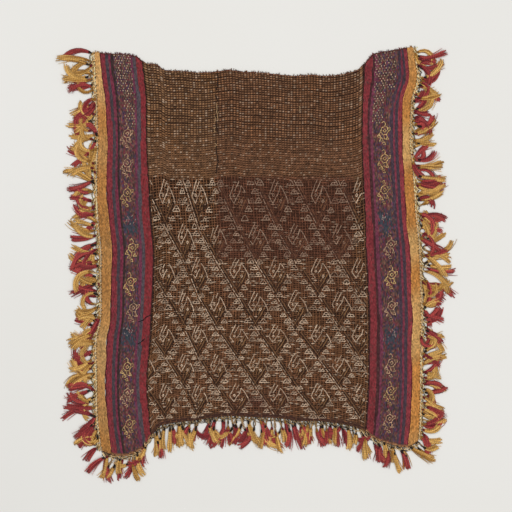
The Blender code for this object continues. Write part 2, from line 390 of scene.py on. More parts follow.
def dyed_wool(name, ply, groove_shade_depth, mottle, mottle_size, roughness, sheen):
    """Spun and plied wool in the yarn's own dye.

    ply is the length of one turn of the ply in mm, and mottle how far the dye varies over
    mottle_size mm, as hand dyed and sun faded yarn does. Real plies turn about once in a
    millimetre, too fine to show, so the turns given here are as long as they need to show.
    """
    material = bpy.data.materials.new(name)
    material.use_nodes = True
    tree = material.node_tree
    shader = tree.nodes["Principled BSDF"]
    own = add_node(tree, "ShaderNodeAttribute", {"attribute_name": "dye"})
    place = add_node(tree, "ShaderNodeTexCoord").outputs["Object"]
    run = add_node(tree, "ShaderNodeUVMap", {"uv_map": "yarn_run"})
    split = add_node(tree, "ShaderNodeSeparateXYZ", {}, {"Vector": run.outputs["UV"]})
    # The ply winds round the yarn once for each turn's length
    around = add_node(
        tree, "ShaderNodeMath", {"operation": "MULTIPLY", 1: 2 * math.pi}, {0: split.outputs["X"]}
    )
    wind = add_node(
        tree, "ShaderNodeMath", {"operation": "MULTIPLY_ADD", 1: 2 * math.pi / ply},
        {0: split.outputs["Y"], 2: around.outputs[0]},
    )
    strand = add_node(tree, "ShaderNodeMath", {"operation": "SINE"}, {0: wind.outputs[0]})
    patch = add_node(
        tree, "ShaderNodeTexNoise", {"Scale": 1 / (mottle_size * MM), "Detail": 4.0, "Roughness": 0.6},
        {"Vector": place},
    )
    fuzz = add_node(
        tree, "ShaderNodeTexNoise", {"Scale": 1 / (FUZZ_SIZE * MM), "Detail": 2.0}, {"Vector": place}
    )
    # Lighter and darker dye in patches, and painted shade where the plies sink between one another
    patchy = add_node(
        tree, "ShaderNodeMapRange",
        {"From Min": 0.3, "From Max": 0.7, "To Min": 1 - mottle, "To Max": 1 + mottle},
        {"Value": patch.outputs["Fac"]},
    )
    groove_shade = add_node(
        tree, "ShaderNodeMapRange",
        {"From Min": -1.0, "From Max": 1.0, "To Min": 1 - groove_shade_depth, "To Max": 1 + groove_shade_depth * 0.5},
        {"Value": strand.outputs[0]},
    )
    tone = add_node(
        tree, "ShaderNodeMath", {"operation": "MULTIPLY"},
        {0: patchy.outputs["Result"], 1: groove_shade.outputs["Result"]},
    )
    colour = add_node(
        tree, "ShaderNodeVectorMath", {"operation": "SCALE"},
        {0: own.outputs["Color"], "Scale": tone.outputs[0]},
    )
    rough = add_node(
        tree, "ShaderNodeMapRange",
        {"To Min": roughness - FUZZ_ROUGHNESS, "To Max": min(roughness + FUZZ_ROUGHNESS, 1.0)},
        {"Value": fuzz.outputs["Fac"]},
    )
    height = add_node(
        tree, "ShaderNodeMath", {"operation": "MULTIPLY_ADD", 1: 0.5},
        {0: strand.outputs[0], 2: fuzz.outputs["Fac"]},
    )
    bump = add_node(
        tree, "ShaderNodeBump", {"Strength": 0.6, "Distance": PLY_RELIEF * MM},
        {"Height": height.outputs[0]},
    )
    tree.links.new(colour.outputs[0], shader.inputs["Base Color"])
    tree.links.new(rough.outputs["Result"], shader.inputs["Roughness"])
    tree.links.new(bump.outputs["Normal"], shader.inputs["Normal"])
    shader.inputs["Metallic"].default_value = 0.0
    shader.inputs["Specular IOR Level"].default_value = 0.15
    shader.inputs["Sheen Weight"].default_value = sheen
    shader.inputs["Sheen Roughness"].default_value = 0.5
    return material


# Each wool: turn of its ply in mm, how dark the painted shade in the ply's grooves is, mottle, its size in
# mm, roughness, sheen
# Brown camelid wool, hand spun and woven open: matt, with a faint fuzz, each yarn its own brown
FIELD_WOOL = dyed_wool("camelid_wool_hand_spun_open_weave", 2.2, 0.12, 0.22, 9.0, 0.92, 0.02)
# Supplementary yarns of the brocade, softer spun: paler, and they lie proud of the ground weave
BROCADE_WOOL = dyed_wool("camelid_wool_brocade_yarn", 2.6, 0.15, 0.20, 5.0, 0.9, 0.04)
# Warp faced bands, packed tight: the warps alone show, as fine ribs of plain colour
BAND_WOOL = dyed_wool("camelid_wool_warp_faced_band", 1.6, 0.14, 0.24, 3.0, 0.88, 0.03)
# Edging tape, beaten close: a dense grain, worn darker in patches
TAPE_WOOL = dyed_wool("camelid_wool_ochre_tape", 1.6, 0.18, 0.20, 3.2, 0.88, 0.05)
# Cut yarn of the fringe, loosely plied: soft, with a light sheen and open ends
TUFT_WOOL = dyed_wool("camelid_wool_cut_tuft", 3.4, 0.22, 0.22, 3.0, 0.85, 0.10)
# Header cords: cotton and black wool twisted hard together
HEADER_CORD = dyed_wool("cotton_and_wool_twisted_cord", 2.4, 0.25, 0.15, 2.0, 0.8, 0.05)

# Dyes of the field. Some are painted light and shade: the lit knuckles and the shaded low yarn of the open
# weave, and the shade in the holes of the mesh
MESH_BROWN = dye("#6e4a32")
LIT_KNUCKLE_BROWN = dye("#97704e")
SHADED_LOW_BROWN = dye("#4f3424")
PALE_YARN = dye("#e0c4a8")
GOLDEN_YARN = dye("#8c6844")
DARK_YARN = dye("#27140b")
RED_BROWN = dye("#6a4030")
HOLE_SHADE_BROWN = dye("#26150b")
FADED_HOLE_SHADE = dye("#452a1e")
GOLDEN_WEAR = dye("#7c5536")
OPEN_HOLE_SHADE = dye("#3a2416")
CLOSE_BROWN = dye("#79563c")
CLOSE_HOLE_SHADE = dye("#553825")

# Parts of the field where age has changed the brown: x0, y0, x1, y1, soft edge in mm,
# how much redder and darker, how much the pattern has faded
FADED = (
    (-57, 6, 147, 132, 9, 0.90, 0.55),
    (-57, 132, 170, 300, 9, 0.30, 0.25),
    (-57, -60, 171, 6, 40, 0.25, 0.10),
    (-40, -240, 60, -190, 22, 0.45, 0.15),
    (-13, -217, 17, -197, 12, 1.0, 0.6),
)


def faded(x, y):
    """How far age has darkened the brown and dulled the pattern at each place."""
    darker = np.zeros(np.shape(x))
    duller = np.zeros(np.shape(x))
    for x0, y0, x1, y1, soft, dark, dull in FADED:
        inside = np.clip((np.minimum(x - x0, x1 - x) / soft) + 0.5, 0, 1)
        inside = inside * np.clip((np.minimum(y - y0, y1 - y) / soft) + 0.5, 0, 1)
        darker = np.maximum(darker, inside * dark)
        duller = np.maximum(duller, inside * dull)
    return darker, duller


# The lattice of diamonds: the middles of the birds' rows, and of their columns in even and odd rows
BIRD_ROWS = (104.4, 38.6, -12.6, -62.8, -112.0, -156.1, -200.4)
EVEN_COLUMNS = (-135.6, -86.7, -28.2, 30.3, 93.8, 154.7)
ODD_COLUMNS = (-166.0, -107.6, -58.7, 0.0, 59.6, 125.4, 186.0)
# How far above a row of birds its diamonds' side corners lie
DIAMOND_RISE = 15.0
# No side of a diamond leans further across than this
LONGEST_LEAN = 40
LATTICE_TOP_Y = 129.0
# Upper and lower edge of the field at its middle
MIDDLE_TOP = 287.5
MIDDLE_BOTTOM = -228.0
LATTICE_TOP = (MIDDLE_TOP - LATTICE_TOP_Y) / (MIDDLE_TOP - MIDDLE_BOTTOM)
# The wefts: pitch in the open part, how far each may lie off its place, and how far the first and the
# last lie inside the edges
OPEN_PITCH = 3.4
WEFT_JITTER = 0.28
FIRST_INSIDE = 1.0
LAST_INSIDE = 1.5


def lattice_nodes():
    """Rows of crossings of the diagonals, each with its height and its places across."""
    heights = [row + DIAMOND_RISE for row in BIRD_ROWS]
    heights = [2 * heights[0] - heights[1]] + heights + [2 * heights[-1] - heights[-2]]
    return [(y, (EVEN_COLUMNS, ODD_COLUMNS)[k % 2]) for k, y in enumerate(heights)]


def weft_places():
    """How far down the web each weft lies. In the lattice every row of diamonds has as many."""
    picks = np.random.default_rng(SEEDS["weft_places"])
    rows = np.array([y for y, _ in lattice_nodes()])
    lattice = np.interp(
        np.arange(WEFTS_PER_ROW * (len(rows) - 1)), np.arange(len(rows)) * WEFTS_PER_ROW, rows
    )
    lattice = lattice[(lattice < LATTICE_TOP_Y) & (lattice > MIDDLE_BOTTOM + LAST_INSIDE)]
    open_part = np.linspace(MIDDLE_TOP - FIRST_INSIDE, lattice[0] + OPEN_PITCH, OPEN_WEFTS)
    places = np.concatenate((open_part, lattice))
    jitter = picks.uniform(-WEFT_JITTER, WEFT_JITTER, len(places))
    return (MIDDLE_TOP - places - jitter) / (MIDDLE_TOP - MIDDLE_BOTTOM)


def lattice_edges():
    """The diagonals between crossings, each from its upper to its lower end."""
    edges = []
    nodes = lattice_nodes()
    for (y0, row), (y1, lower) in zip(nodes, nodes[1:]):
        for x0 in row:
            near = sorted(lower, key=lambda x1: abs(x1 - x0))[:2]
            for x1 in near:
                if abs(x1 - x0) < LONGEST_LEAN:
                    edges.append((x0, y0, x1, y1))
    return edges


def in_lattice(x, y, margin=3.0):
    """Whether a place is on the lattice part of the field."""
    left = smooth_read(LONG_EDGES, y, FIELD) + margin
    right = smooth_read(LONG_EDGES, y, FIELD + 1) - margin
    lowest = smooth_read(BOTTOM_EDGE, x, 1) + margin
    return left < x < right and lowest < y < LATTICE_TOP_Y - margin


# One bird of the lattice, in mm from its head, charted for a diamond 64 mm wide and 79 mm high
CHART_HALF_WIDTH = 32.0
CHART_HALF_HEIGHT = 39.5
BIRD = (
    ((2.4, 15.3), (-1.2, 10.2), (-3.3, 5.7)),
    ((7.2, 13.5), (3.0, 7.6), (-0.5, 3.0)),
    ((10.5, 9.0), (8.1, 2.0), (3.3, -3.0), (-0.5, -8.6)),
    ((-7.2, -0.9), (-4.2, -4.8), (-0.5, -8.6)),
    ((-7.2, -0.9), (-5.6, 2.2), (-3.3, 5.7)),
    ((10.5, 9.0), (13.5, 6.6), (16.8, 3.0), (21.6, -3.9), (23.4, -8.6)),
    ((9.6, -6.2), (11.4, -4.4), (13.2, -6.2), (11.4, -8.0), (9.6, -6.2)),
    ((1.6, -0.4), (0.0, 1.4), (-1.6, -0.4), (0.0, -2.0), (1.6, -0.4)),
)
BIRD_WIDE = 1.4
BIRD_LIFT = 2.1
# Where its head lies: left of the diamond's middle, above its side corners, and down with its size
HEAD_LEFT = 2.85
HEAD_ABOVE = 3.5
HEAD_DROP = 12.75
# Golden lines that fill the bird's body, and dark ones between them
BODY_LINES = (
    ((4.0, -9.5), (8.5, -3.0)),
    ((7.5, -13.0), (14.5, -1.5)),
    ((11.0, -15.0), (17.5, -4.5)),
)
BODY_GROOVES = (
    ((2.0, -12.0), (7.5, -3.6)),
    ((5.5, -13.5), (10.0, -5.5)),
    ((9.5, -15.5), (16.0, -3.5)),
    ((13.0, -16.0), (19.0, -5.5)),
)
# Lines of the body, their width and dye
BODY_FILL = ((BODY_LINES, 1.5, GOLDEN_YARN), (BODY_GROOVES, 1.2, DARK_YARN))
BODY_STRENGTH = 0.85
# Half the width of the diamonds, narrower left of a place, and the height of the lowest ones' upper half
WIDE_HALF = 30.5
NARROW_HALF = 24.5
NARROW_LEFT_OF = -58
LAST_RISE = 45.0
TALLEST_RISE = 60.0
# The brocade's floating yarns: thickness, height of the ones that lie low, how uneven their dye is
FLOAT_HIGH = 0.7
LOW_LIFT = 1.85
FLOAT_DYE_SPREAD = 0.14


def resample(line, step):
    """The same broken line with a point about every step mm, and at least one at each end."""
    line = np.array(line, float)
    lengths = np.hypot(*np.diff(line, axis=0).T)
    along = np.concatenate(([0.0], np.cumsum(lengths)))
    at = np.linspace(0.0, along[-1], max(2, int(round(along[-1] / step)) + 1))
    return np.stack((np.interp(at, along, line[:, 0]), np.interp(at, along, line[:, 1])), axis=1)


def float_yarn(line, wide, high, lift, colour, picks, wobble=0.3, beads=0.25, step=2.0):
    """A yarn that floats on top of a web along a broken line, pinched where the weave ties it down, with
    painted light and shade that make its stitches lighter and darker by turns.
    """
    flat = resample(line, step)
    flat = flat + picks.uniform(-wobble, wobble, flat.shape)
    x, y = flat.T
    pinch = 1 + beads * np.sin(np.arange(len(x)) * math.pi * 0.5 + picks.uniform(0, 6))
    z = relief(x, y) + lift + 0.12 * (pinch - 1)
    path = np.stack((x, y, z), axis=1)[None]
    uneven = picks.uniform(-FLOAT_DYE_SPREAD, FLOAT_DYE_SPREAD, len(x))
    # Painted light and shade: every second point lighter and the others darker, for lit stitch tops and
    # shaded ties, on some uneven dye
    shade = 1 + uneven + beads * np.cos(np.arange(len(x)) * math.pi)
    return yarns(path, wide * pinch[None], high, colour * shade[None, :, None])


def worn(x, y, seed, brown, spread):
    """The web's brown, redder where it aged, and uneven from stitch to stitch as hand spun yarn is."""
    dark, _ = faded(x, y)
    uneven = np.clip(np.random.default_rng(seed).normal(1.0, spread, x.shape), 0.45, 1.8)
    drift = 1 + DYE_DRIFT * wander(seed, x.shape[0], x.shape[1], 9)
    depth = brown.mean(axis=-1, keepdims=True)
    aged = RED_BROWN * depth / MESH_BROWN.mean()
    golden = GOLDEN_WEAR * depth / GOLDEN_WEAR.mean()
    patches = np.sin(x / 23 + 1.3) * np.sin(y / 27 + 0.6) + 0.6 * np.sin(x / 11 + y / 14)
    brown = blend(brown, golden, GOLDEN_SHARE * patches)
    return blend(brown, aged, dark * AGED_REDDER) * (uneven * drift * (1 - AGED_DARKER * dark))[..., None]


def closeness(v):
    """How close and even the open weave lies: its lower part was never drawn apart as the top was."""
    return CLOSEST * np.clip((v - CLOSER_FROM) / CLOSER_OVER, 0, 1)


def sag(down, points):
    """How far the wefts of the open part drift together up and down the web, in shares of its height."""
    first, last = wander(SEEDS["weft_sag"], 2, points, 26)
    low = (down / LATTICE_TOP)[:, None]
    return (first * (1 - low) + last * low) * SAG * np.sin(low * math.pi)


def pale_dashes(x, y, seed, share, over):
    """How pale each stitch of the lattice is: short runs of paler yarn lie all over its ground."""
    picks = np.random.default_rng(seed)
    _, dull = faded(x, y)
    start = picks.uniform(0, 1, x.shape) < share
    run = start | np.roll(start, 1, axis=1)
    return run * over * picks.uniform(0.25, 0.85, x.shape) * (1 - dull)


def lay_warps(down, across, crossings):
    """The field's warps, with a point at each weft and in the open part one halfway to the next."""
    count = len(down)
    at = np.concatenate((np.arange(0, OPEN_WEFTS, 0.5), np.arange(OPEN_WEFTS, count)))
    v = np.interp(at, np.arange(count), down)
    v[0] = 0.0
    v[-1] = 1.0
    v = np.broadcast_to(v, (WARPS, len(at)))
    u = across[:, None] + wander(SEEDS["warp_sway"], WARPS, len(at), 16) * WARP_WANDER / WARPS
    x, y = web_place(FIELD, u, v)
    in_open = v < LATTICE_TOP
    sway = np.zeros((WARPS, len(at)))
    on_weft = at % 1 == 0
    sway[:, on_weft] = crossings[at[on_weft].astype(int)].T
    z = relief(x, y) + np.where(in_open, OPEN_WARP_LIFT, CLOSE_LIFT + OVER_RISE * sway)
    slub = 1 + SLUB * wander(SEEDS["warp_width"], WARPS, len(at), 5)
    wide = np.where(in_open, OPEN_WARP_WIDE, CLOSE_WIDE) * slub
    # Painted shade: in the open part the warps lie low under the wefts and get the shaded brown, evened out
    # where the weave lies closer
    brown = blend(SHADED_LOW_BROWN, CLOSE_BROWN, closeness(v) * 0.8)
    brown = np.where(in_open[..., None], brown, MESH_BROWN)
    colour = worn(x, y, SEEDS["warp_dye"], brown, DYE_SPREAD)
    # Painted light and shade: lighter where a warp lies over a weft, darker where it lies under
    colour = colour * np.where(in_open, 1.0, 1 + PAINTED_OVER_UNDER_SHADE * sway)[..., None]
    return yarns(np.stack((x, y, z), axis=2), wide, WARP_HIGH, colour)


def lay_open_wefts(down, across):
    """Wefts of the open part: each dips at a warp, painted shaded there, and puffs up to the next in a
    knuckle painted lit.
    """
    points = 2 * WARPS - 1
    u = np.interp(np.arange(points) / 2, np.arange(WARPS), across)
    u[0] = 0.0
    u[-1] = 1.0
    u = np.broadcast_to(u, (OPEN_WEFTS, points))
    v = down[:OPEN_WEFTS, None] + wander(SEEDS["weft_sway"], OPEN_WEFTS, points, 18) * OPEN_WANDER
    v = v + sag(down[:OPEN_WEFTS], points)
    x, y = web_place(FIELD, u, np.clip(v, 0.0, 1.0))
    between = np.broadcast_to(np.arange(points) % 2 == 1, x.shape)
    z = relief(x, y) + np.where(between, KNUCKLE_LIFT, DIP_LIFT)
    slub = 1 + SLUB * wander(SEEDS["weft_width"], OPEN_WEFTS, points, 5)
    wide = np.where(between, KNUCKLE_WIDE, DIP_WIDE) * slub
    # Painted light and shade: lit brown on the knuckles, shaded brown where the weft dips
    brown = np.where(between[..., None], LIT_KNUCKLE_BROWN, SHADED_LOW_BROWN)
    brown = blend(brown, CLOSE_BROWN, closeness(v))
    colour = worn(x, y, SEEDS["weft_dye"], brown, DYE_SPREAD)
    light = pale_dashes(x, y, SEEDS["weft_pale"], OPEN_PALE_SHARE, between) * OPEN_PALENESS
    return yarns(np.stack((x, y, z), axis=2), wide, WEFT_HIGH, blend(colour, PALE_YARN, light))


def lay_lattice_wefts(down, across, crossings):
    """Wefts of the lattice part, over one warp and under the next."""
    rows = np.arange(OPEN_WEFTS, len(down))
    u = np.concatenate(([0.0], across[1:-1], [1.0]))
    u = np.broadcast_to(u, (len(rows), WARPS))
    v = down[rows, None] + wander(SEEDS["close_sway"], len(rows), WARPS, 9) * CLOSE_WANDER
    x, y = web_place(FIELD, u, np.clip(v, 0.0, 1.0))
    sway = -crossings[rows]
    z = relief(x, y) + CLOSE_LIFT + OVER_RISE * sway
    wide = CLOSE_WIDE * (1 + CLOSE_SLUB * wander(SEEDS["close_width"], len(rows), WARPS, 4))
    brown = np.broadcast_to(MESH_BROWN, x.shape + (3,))
    colour = worn(x, y, SEEDS["close_dye"], brown, DYE_SPREAD)
    # Painted light and shade: lighter where a weft lies over a warp, darker where it lies under
    colour = colour * (1 + PAINTED_OVER_UNDER_SHADE * sway)[..., None]
    light = pale_dashes(x, y, SEEDS["close_pale"], CLOSE_PALE_SHARE, sway > 0)
    return yarns(np.stack((x, y, z), axis=2), wide, WEFT_HIGH, blend(colour, PALE_YARN, light))


def build_field():
    """The brown web: warps and wefts that cross over and under, and a dark sheet behind them that is
    painted shade for the holes.
    """
    down = weft_places()
    across = (np.arange(WARPS) + 0.5) / WARPS
    picks = np.random.default_rng(SEEDS["warp_places"])
    across = across + picks.uniform(-WARP_WANDER, WARP_WANDER, WARPS) / WARPS
    crossings = np.add.outer(np.arange(len(down)), np.arange(WARPS)) % 2 * 2 - 1
    wefts = [lay_open_wefts(down, across), lay_lattice_wefts(down, across, crossings)]
    field_wefts = make_piece("field_wefts", wefts, FIELD_WOOL, "field_cloth", "field_web")
    warps = [lay_warps(down, across, crossings)]
    field_warps = make_piece("field_warps", warps, FIELD_WOOL, "field_cloth")

    # A dark sheet behind the yarns: painted shade that makes the holes of the mesh dark
    v = np.linspace(0.004, 0.998, SHADE_SHEET_ROWS)
    v, u = np.meshgrid(v, np.linspace(0.0, 1.0, SHADE_SHEET_COLUMNS), indexing="ij")
    x, y = web_place(FIELD, u, v)
    shade = blend(OPEN_HOLE_SHADE, CLOSE_HOLE_SHADE, closeness(v))
    dark, _ = faded(x, y)
    shade = np.where((v < LATTICE_TOP)[..., None], shade, blend(HOLE_SHADE_BROWN, FADED_HOLE_SHADE, dark))
    shade = np.concatenate((shade.reshape(-1, 3), shade.reshape(-1, 3)))
    backing = closed_sheet(x, y, relief(x, y), SHADE_SHEET_THICK, shade)
    hole_shade_sheet = make_piece("hole_shade_sheet", [backing], FIELD_WOOL, "field_cloth")
    return field_wefts, field_warps, hole_shade_sheet


# One pyramid of the lattice in mm from the middle of its foot: shelves over one another, on posts
PYRAMID = (
    ((-5.4, 0.0), (5.4, 0.0)),
    ((-3.5, 3.0), (3.5, 3.0)),
    ((-1.3, 5.9), (1.5, 5.9)),
    ((0.0, 0.2), (0.0, 2.8)),
    ((-5.2, 0.3), (-3.5, 2.8)),
    ((5.2, 0.3), (3.5, 2.8)),
    ((-3.3, 3.3), (-1.3, 5.7)),
    ((3.3, 3.3), (1.4, 5.7)),
)
# Its holes, each a dark yarn laid on top: painted shade
PYRAMID_HOLE_SHADES = ((-2.4, 1.5), (2.4, 1.5), (0.0, 4.4))
# It is charted for a diagonal that runs so far across and down, and it grows with longer ones at
# most so many times
CHART_RUN = 30.5
CHART_DROP = 49.7
WIDEST = 1.05
TALLEST = 1.25
# Its pale yarns, and the dark ones that are painted shade in its holes: width and height over the ground
PYRAMID_WIDE = 1.15
PYRAMID_LIFT = 1.95
HOLE_SHADE_WIDE = 2.2
HOLE_SHADE_LIFT = 1.7
HOLE_SHADE_HALF = 1.3
# Pyramids along a diagonal. The ones that lean like a slash carry fewer, since the others' cover
# their upper end. The first foot lies so far right and above the upper or the lower crossing
PYRAMIDS = 5
SHORT_RUN = 4
FALLING_FOOT = (-0.4, -11.2)
RISING_FOOT = (6.8, -1.2)
# How much a foot strays sideways and up, how much sizes differ, and strokes that are worn away
STRAY = (0.9, 0.7)
GROWTH = (0.88, 1.12)
WORN_AWAY = 0.1


def lay_float(parts, picks, line, wide, colour, lift, strength, step=2.0):
    """One floating yarn of the brocade, if it lies on the lattice, dulled where the field is faded."""
    if not all(in_lattice(px, py, 2.0) for px, py in line):
        return
    middle = np.mean(line, axis=0)
    dark, dull = faded(middle[0], middle[1])
    tone = blend(blend(MESH_BROWN, RED_BROWN, dark), colour, strength * (1 - float(dull)))
    parts.append(float_yarn(line, wide, FLOAT_HIGH, lift, tone, picks, step=step))


def build_pyramids():
    """The little pyramids that stand in a row under each diagonal of the lattice."""
    picks = np.random.default_rng(SEEDS["pyramids"])
    parts = []
    for x0, y0, x1, y1 in lattice_edges():
        step_x = (x1 - x0) / PYRAMIDS
        step_y = (y1 - y0) / PYRAMIDS
        size_x = min(abs(x1 - x0) / CHART_RUN, WIDEST)
        size_y = min((y0 - y1) / CHART_DROP, TALLEST)
        if x1 > x0:
            right, above = FALLING_FOOT
            first = (x0 + right, y0 + above * size_y)
            feet = [(first[0] + step_x * k, first[1] + step_y * k) for k in range(PYRAMIDS)]
        else:
            right, above = RISING_FOOT
            first = (x1 + right, y1 + above * size_y)
            feet = [(first[0] - step_x * k, first[1] - step_y * k) for k in range(SHORT_RUN)]
        for number, (foot_x, foot_y) in enumerate(feet):
            strength = picks.uniform(0.55, 1.0)
            # The last one of a short run is half hidden in the crossing
            if x1 < x0 and number == SHORT_RUN - 1:
                strength *= 0.45
            foot_x += picks.uniform(-STRAY[0], STRAY[0])
            foot_y += picks.uniform(-STRAY[1], STRAY[1])
            grown = picks.uniform(*GROWTH)
            for stroke, line in enumerate(PYRAMID):
                # The foot's own shelf is never worn away
                if stroke and picks.uniform() < WORN_AWAY:
                    continue
                weight = strength * (1.0 if stroke == 0 else picks.uniform(0.55, 1.0))
                placed = [(foot_x + a * size_x * grown, foot_y + b * size_y * grown) for a, b in line]
                lay_float(parts, picks, placed, PYRAMID_WIDE, PALE_YARN, PYRAMID_LIFT, weight)
            # A dark yarn over each hole: painted shade
            for a, b in PYRAMID_HOLE_SHADES:
                hole = (foot_x + a * size_x, foot_y + b * size_y)
                placed = [(hole[0] - HOLE_SHADE_HALF, hole[1]), (hole[0] + HOLE_SHADE_HALF, hole[1])]
                lay_float(parts, picks, placed, HOLE_SHADE_WIDE, DARK_YARN, HOLE_SHADE_LIFT, 1.0)
    return make_piece("lattice_pyramids", parts, BROCADE_WOOL, "field_cloth")


# Lines that hug a falling and a rising diagonal: share of it where they start and end, how many
# points they have, and how far right and above it the first line lies
FALLING_LINE = (0.02, 0.97, 7, 5.6, -4.0)
RISING_LINE = (0.02, 0.66, 5, 0.5, 4.5)
# The nested lines: how far inwards, width, dye and how strongly it covers the brown
NESTED_LINES = (
    (0.0, 1.9, DARK_YARN, 0.85), (2.4, 1.4, GOLDEN_YARN, 0.4), (4.5, 1.6, DARK_YARN, 0.75),
)
NESTED_STEP = 9.0
# Pale dashes along the falling diagonals: how many, the share of its stretch where each starts and
# ends, how far right and above the diagonal they lie, their width and height over the ground
DASHES = 7
DASH_FROM = 0.05
DASH_TO = 0.85
DASH_BESIDE = (3.2, -3.0)
DASH_WIDE = 1.25
DASH_LIFT = 2.0


def line_beside(x0, y0, x1, y1, inwards):
    """A line along a diagonal, inwards mm further into the diamond above it than the first one."""
    if x1 > x0:
        start, end, points, right, above = FALLING_LINE
        shares = np.linspace(start, end, points)
        return [(x0 + (x1 - x0) * t + right + inwards, y0 + (y1 - y0) * t + above) for t in shares]
    start, end, points, right, above = RISING_LINE
    shares = np.linspace(start, end, points)
    return [(x1 + (x0 - x1) * t + right - inwards, y1 + (y0 - y1) * t + above) for t in shares]


def lay_bird(parts, picks, x, row, scale_x, scale_y):
    """One bird in its diamond: a dark and golden body, and pale outlines."""
    head_x = x - HEAD_LEFT * scale_x
    head_y = row + DIAMOND_RISE + HEAD_ABOVE - HEAD_DROP * scale_y
    for lines, wide, colour in BODY_FILL:
        for line in lines:
            moved = [(head_x + a * scale_x, head_y + b * scale_y) for a, b in line]
            lay_float(parts, picks, moved, wide, colour, LOW_LIFT, BODY_STRENGTH)
    for line in BIRD:
        strength = picks.uniform(0.5, 1.0)
        moved = [(head_x + a * scale_x, head_y + b * scale_y) for a, b in line]
        for ends in zip(moved, moved[1:]):
            if picks.uniform() > 0.08:
                weight = strength * picks.uniform(0.6, 1.0)
                lay_float(parts, picks, ends, BIRD_WIDE, PALE_YARN, BIRD_LIFT, weight)


def build_brocade():
    """The birds, and the dark, golden and pale lines along the diamonds' sides, as floating yarns."""
    picks = np.random.default_rng(SEEDS["brocade"])
    parts = []
    for x0, y0, x1, y1 in lattice_edges():
        # Dark and golden lines by turns hug each diagonal, so every diamond ends below in nested Vs
        for inwards, wide, colour, strength in NESTED_LINES:
            places = line_beside(x0, y0, x1, y1, inwards)
            for ends in zip(places, places[1:]):
                if picks.uniform() > 0.1:
                    lay_float(parts, picks, ends, wide, colour, LOW_LIFT, strength, step=NESTED_STEP)
        # A thin pale line runs along most of the falling diagonals
        if x1 < x0 or picks.uniform() > 0.92:
            continue
        right, above = DASH_BESIDE
        for k in range(DASHES):
            if picks.uniform() < 0.22:
                continue
            shares = ((k + DASH_FROM) / DASHES, (k + DASH_TO) / DASHES)
            line = [(x0 + (x1 - x0) * t + right, y0 + (y1 - y0) * t + above) for t in shares]
            lay_float(parts, picks, line, DASH_WIDE, PALE_YARN, DASH_LIFT, picks.uniform(0.3, 0.85))

    rises = [upper - lower for upper, lower in zip(BIRD_ROWS, BIRD_ROWS[1:])] + [LAST_RISE]
    for k, (row, rise) in enumerate(zip(BIRD_ROWS, rises)):
        scale_y = min(rise, TALLEST_RISE) / CHART_HALF_HEIGHT
        for x in (EVEN_COLUMNS, ODD_COLUMNS)[k % 2]:
            half_width = NARROW_HALF if x < NARROW_LEFT_OF else WIDE_HALF
            lay_bird(parts, picks, x, row, half_width / CHART_HALF_WIDTH, scale_y)
    return make_piece("lattice_brocade", parts, BROCADE_WOOL, "field_cloth")


# Stripes of the bands, read inwards from the tape: share of the width where each ends, and its dye
LEFT_STRIPES = (
    (0.14, "#8d3840"), (0.215, "#50464c"), (0.27, "#82364a"), (0.325, "#40302f"),
    (0.68, "#6c4842"), (0.735, "#763a50"), (0.815, "#5a5056"), (0.985, "#8c3539"), (1.0, "#4a2622"),
)
RIGHT_STRIPES = (
    (0.10, "#983f46"), (0.17, "#50404a"), (0.22, "#863a4a"), (0.285, "#50404c"),
    (0.695, "#6c4842"), (0.765, "#7e3e52"), (0.825, "#502e30"), (0.985, "#8c383d"), (1.0, "#54292a"),
)
LEFT_GROUND = (0.325, 0.68)
RIGHT_GROUND = (0.285, 0.695)
# Real warps lie about half a millimetre apart, too fine to show. These are drawn 1.6 mm apart, and
# overlap, with a point for each beat of the weave
BAND_WARPS = 40
BAND_POINTS = 236
# The inner stripes wander: share down the band, how far inwards they lie on the left, on the right
BAND_DRIFT = (
    (0.0, 0.045, 0.055), (0.16, 0.055, 0.055), (0.28, 0.025, 0.02), (0.48, -0.01, 0.01),
    (0.67, -0.015, -0.005), (0.85, 0.02, 0.0), (1.0, 0.03, 0.0),
)
# At its top the right band's outer stripes are narrower: by this share of its width, within this
# share of its width from the tape, and down to this share of its length
NARROWER = 0.075
NARROW_WITHIN = 0.2
NARROW_END = 0.16
BAND_YARN_WIDE = 1.7
BAND_YARN_HIGH = 1.0
BAND_LIFT = 0.95
# How far each beat's bead stands out of the rib
BAND_BEAD = 0.16
# How much lighter or darker a stitch of the band may be
BAND_UNEVEN = 0.34
# Warps of other dyes that show through a stripe: their share, their dye, and how much of it shows
STRAY_SHARE = 0.10
STRAY_DYE = "#6a4a46"
STRAY_MIX = 0.6
# Maroon, grey, plum, brown, rose and tan warps of the motif ground
SPECKLE_DYES = ("#7c3a42", "#463a3a", "#58405a", "#5c4840", "#704444", "#866050")
# A blue figure: its two blues, how far it spreads across and along the band in mm
FIGURE_BLUE = "#474853"
FIGURE_DEEP_BLUE = "#3a484c"
FIGURE_ACROSS = 14.0
FIGURE_ALONG = 22.0

# Rows of tan dots: all over the motif ground in the upper half, and fewer on its inner side below.
# How many rows, their pitch and the first one's place in mm, and the run of the band
DOT_ROWS = 29
DOT_PITCH = 3.8
FIRST_DOTS = 2.5
BAND_LONG = 600.0
DOT_DYE = "#d8bd9c"
DOT_WIDE = 1.6
DOTS_ABOVE = 7
DOTS_BELOW = 4
# In shares of the band's width: how far inside the motif ground the dots start and end, how wide the
# lower rows are, and how far every second row is shifted
DOTS_START = 0.02
DOTS_END = 0.04
LOWER_DOTS_WIDE = 0.20
DOT_STAGGER = 0.033
# The bands' floating yarns: height over the ground, the birds' width and dyes, the figures' specks
BAND_FLOAT_LIFT = 1.75
BAND_BIRD_WIDE = 1.25
BAND_BIRD_DYES = ("#d2aa74", "#c6a070", "#bf9a7c", "#d8b27c")
SPECKS = 9
SPECK_DYE = "#b49c94"

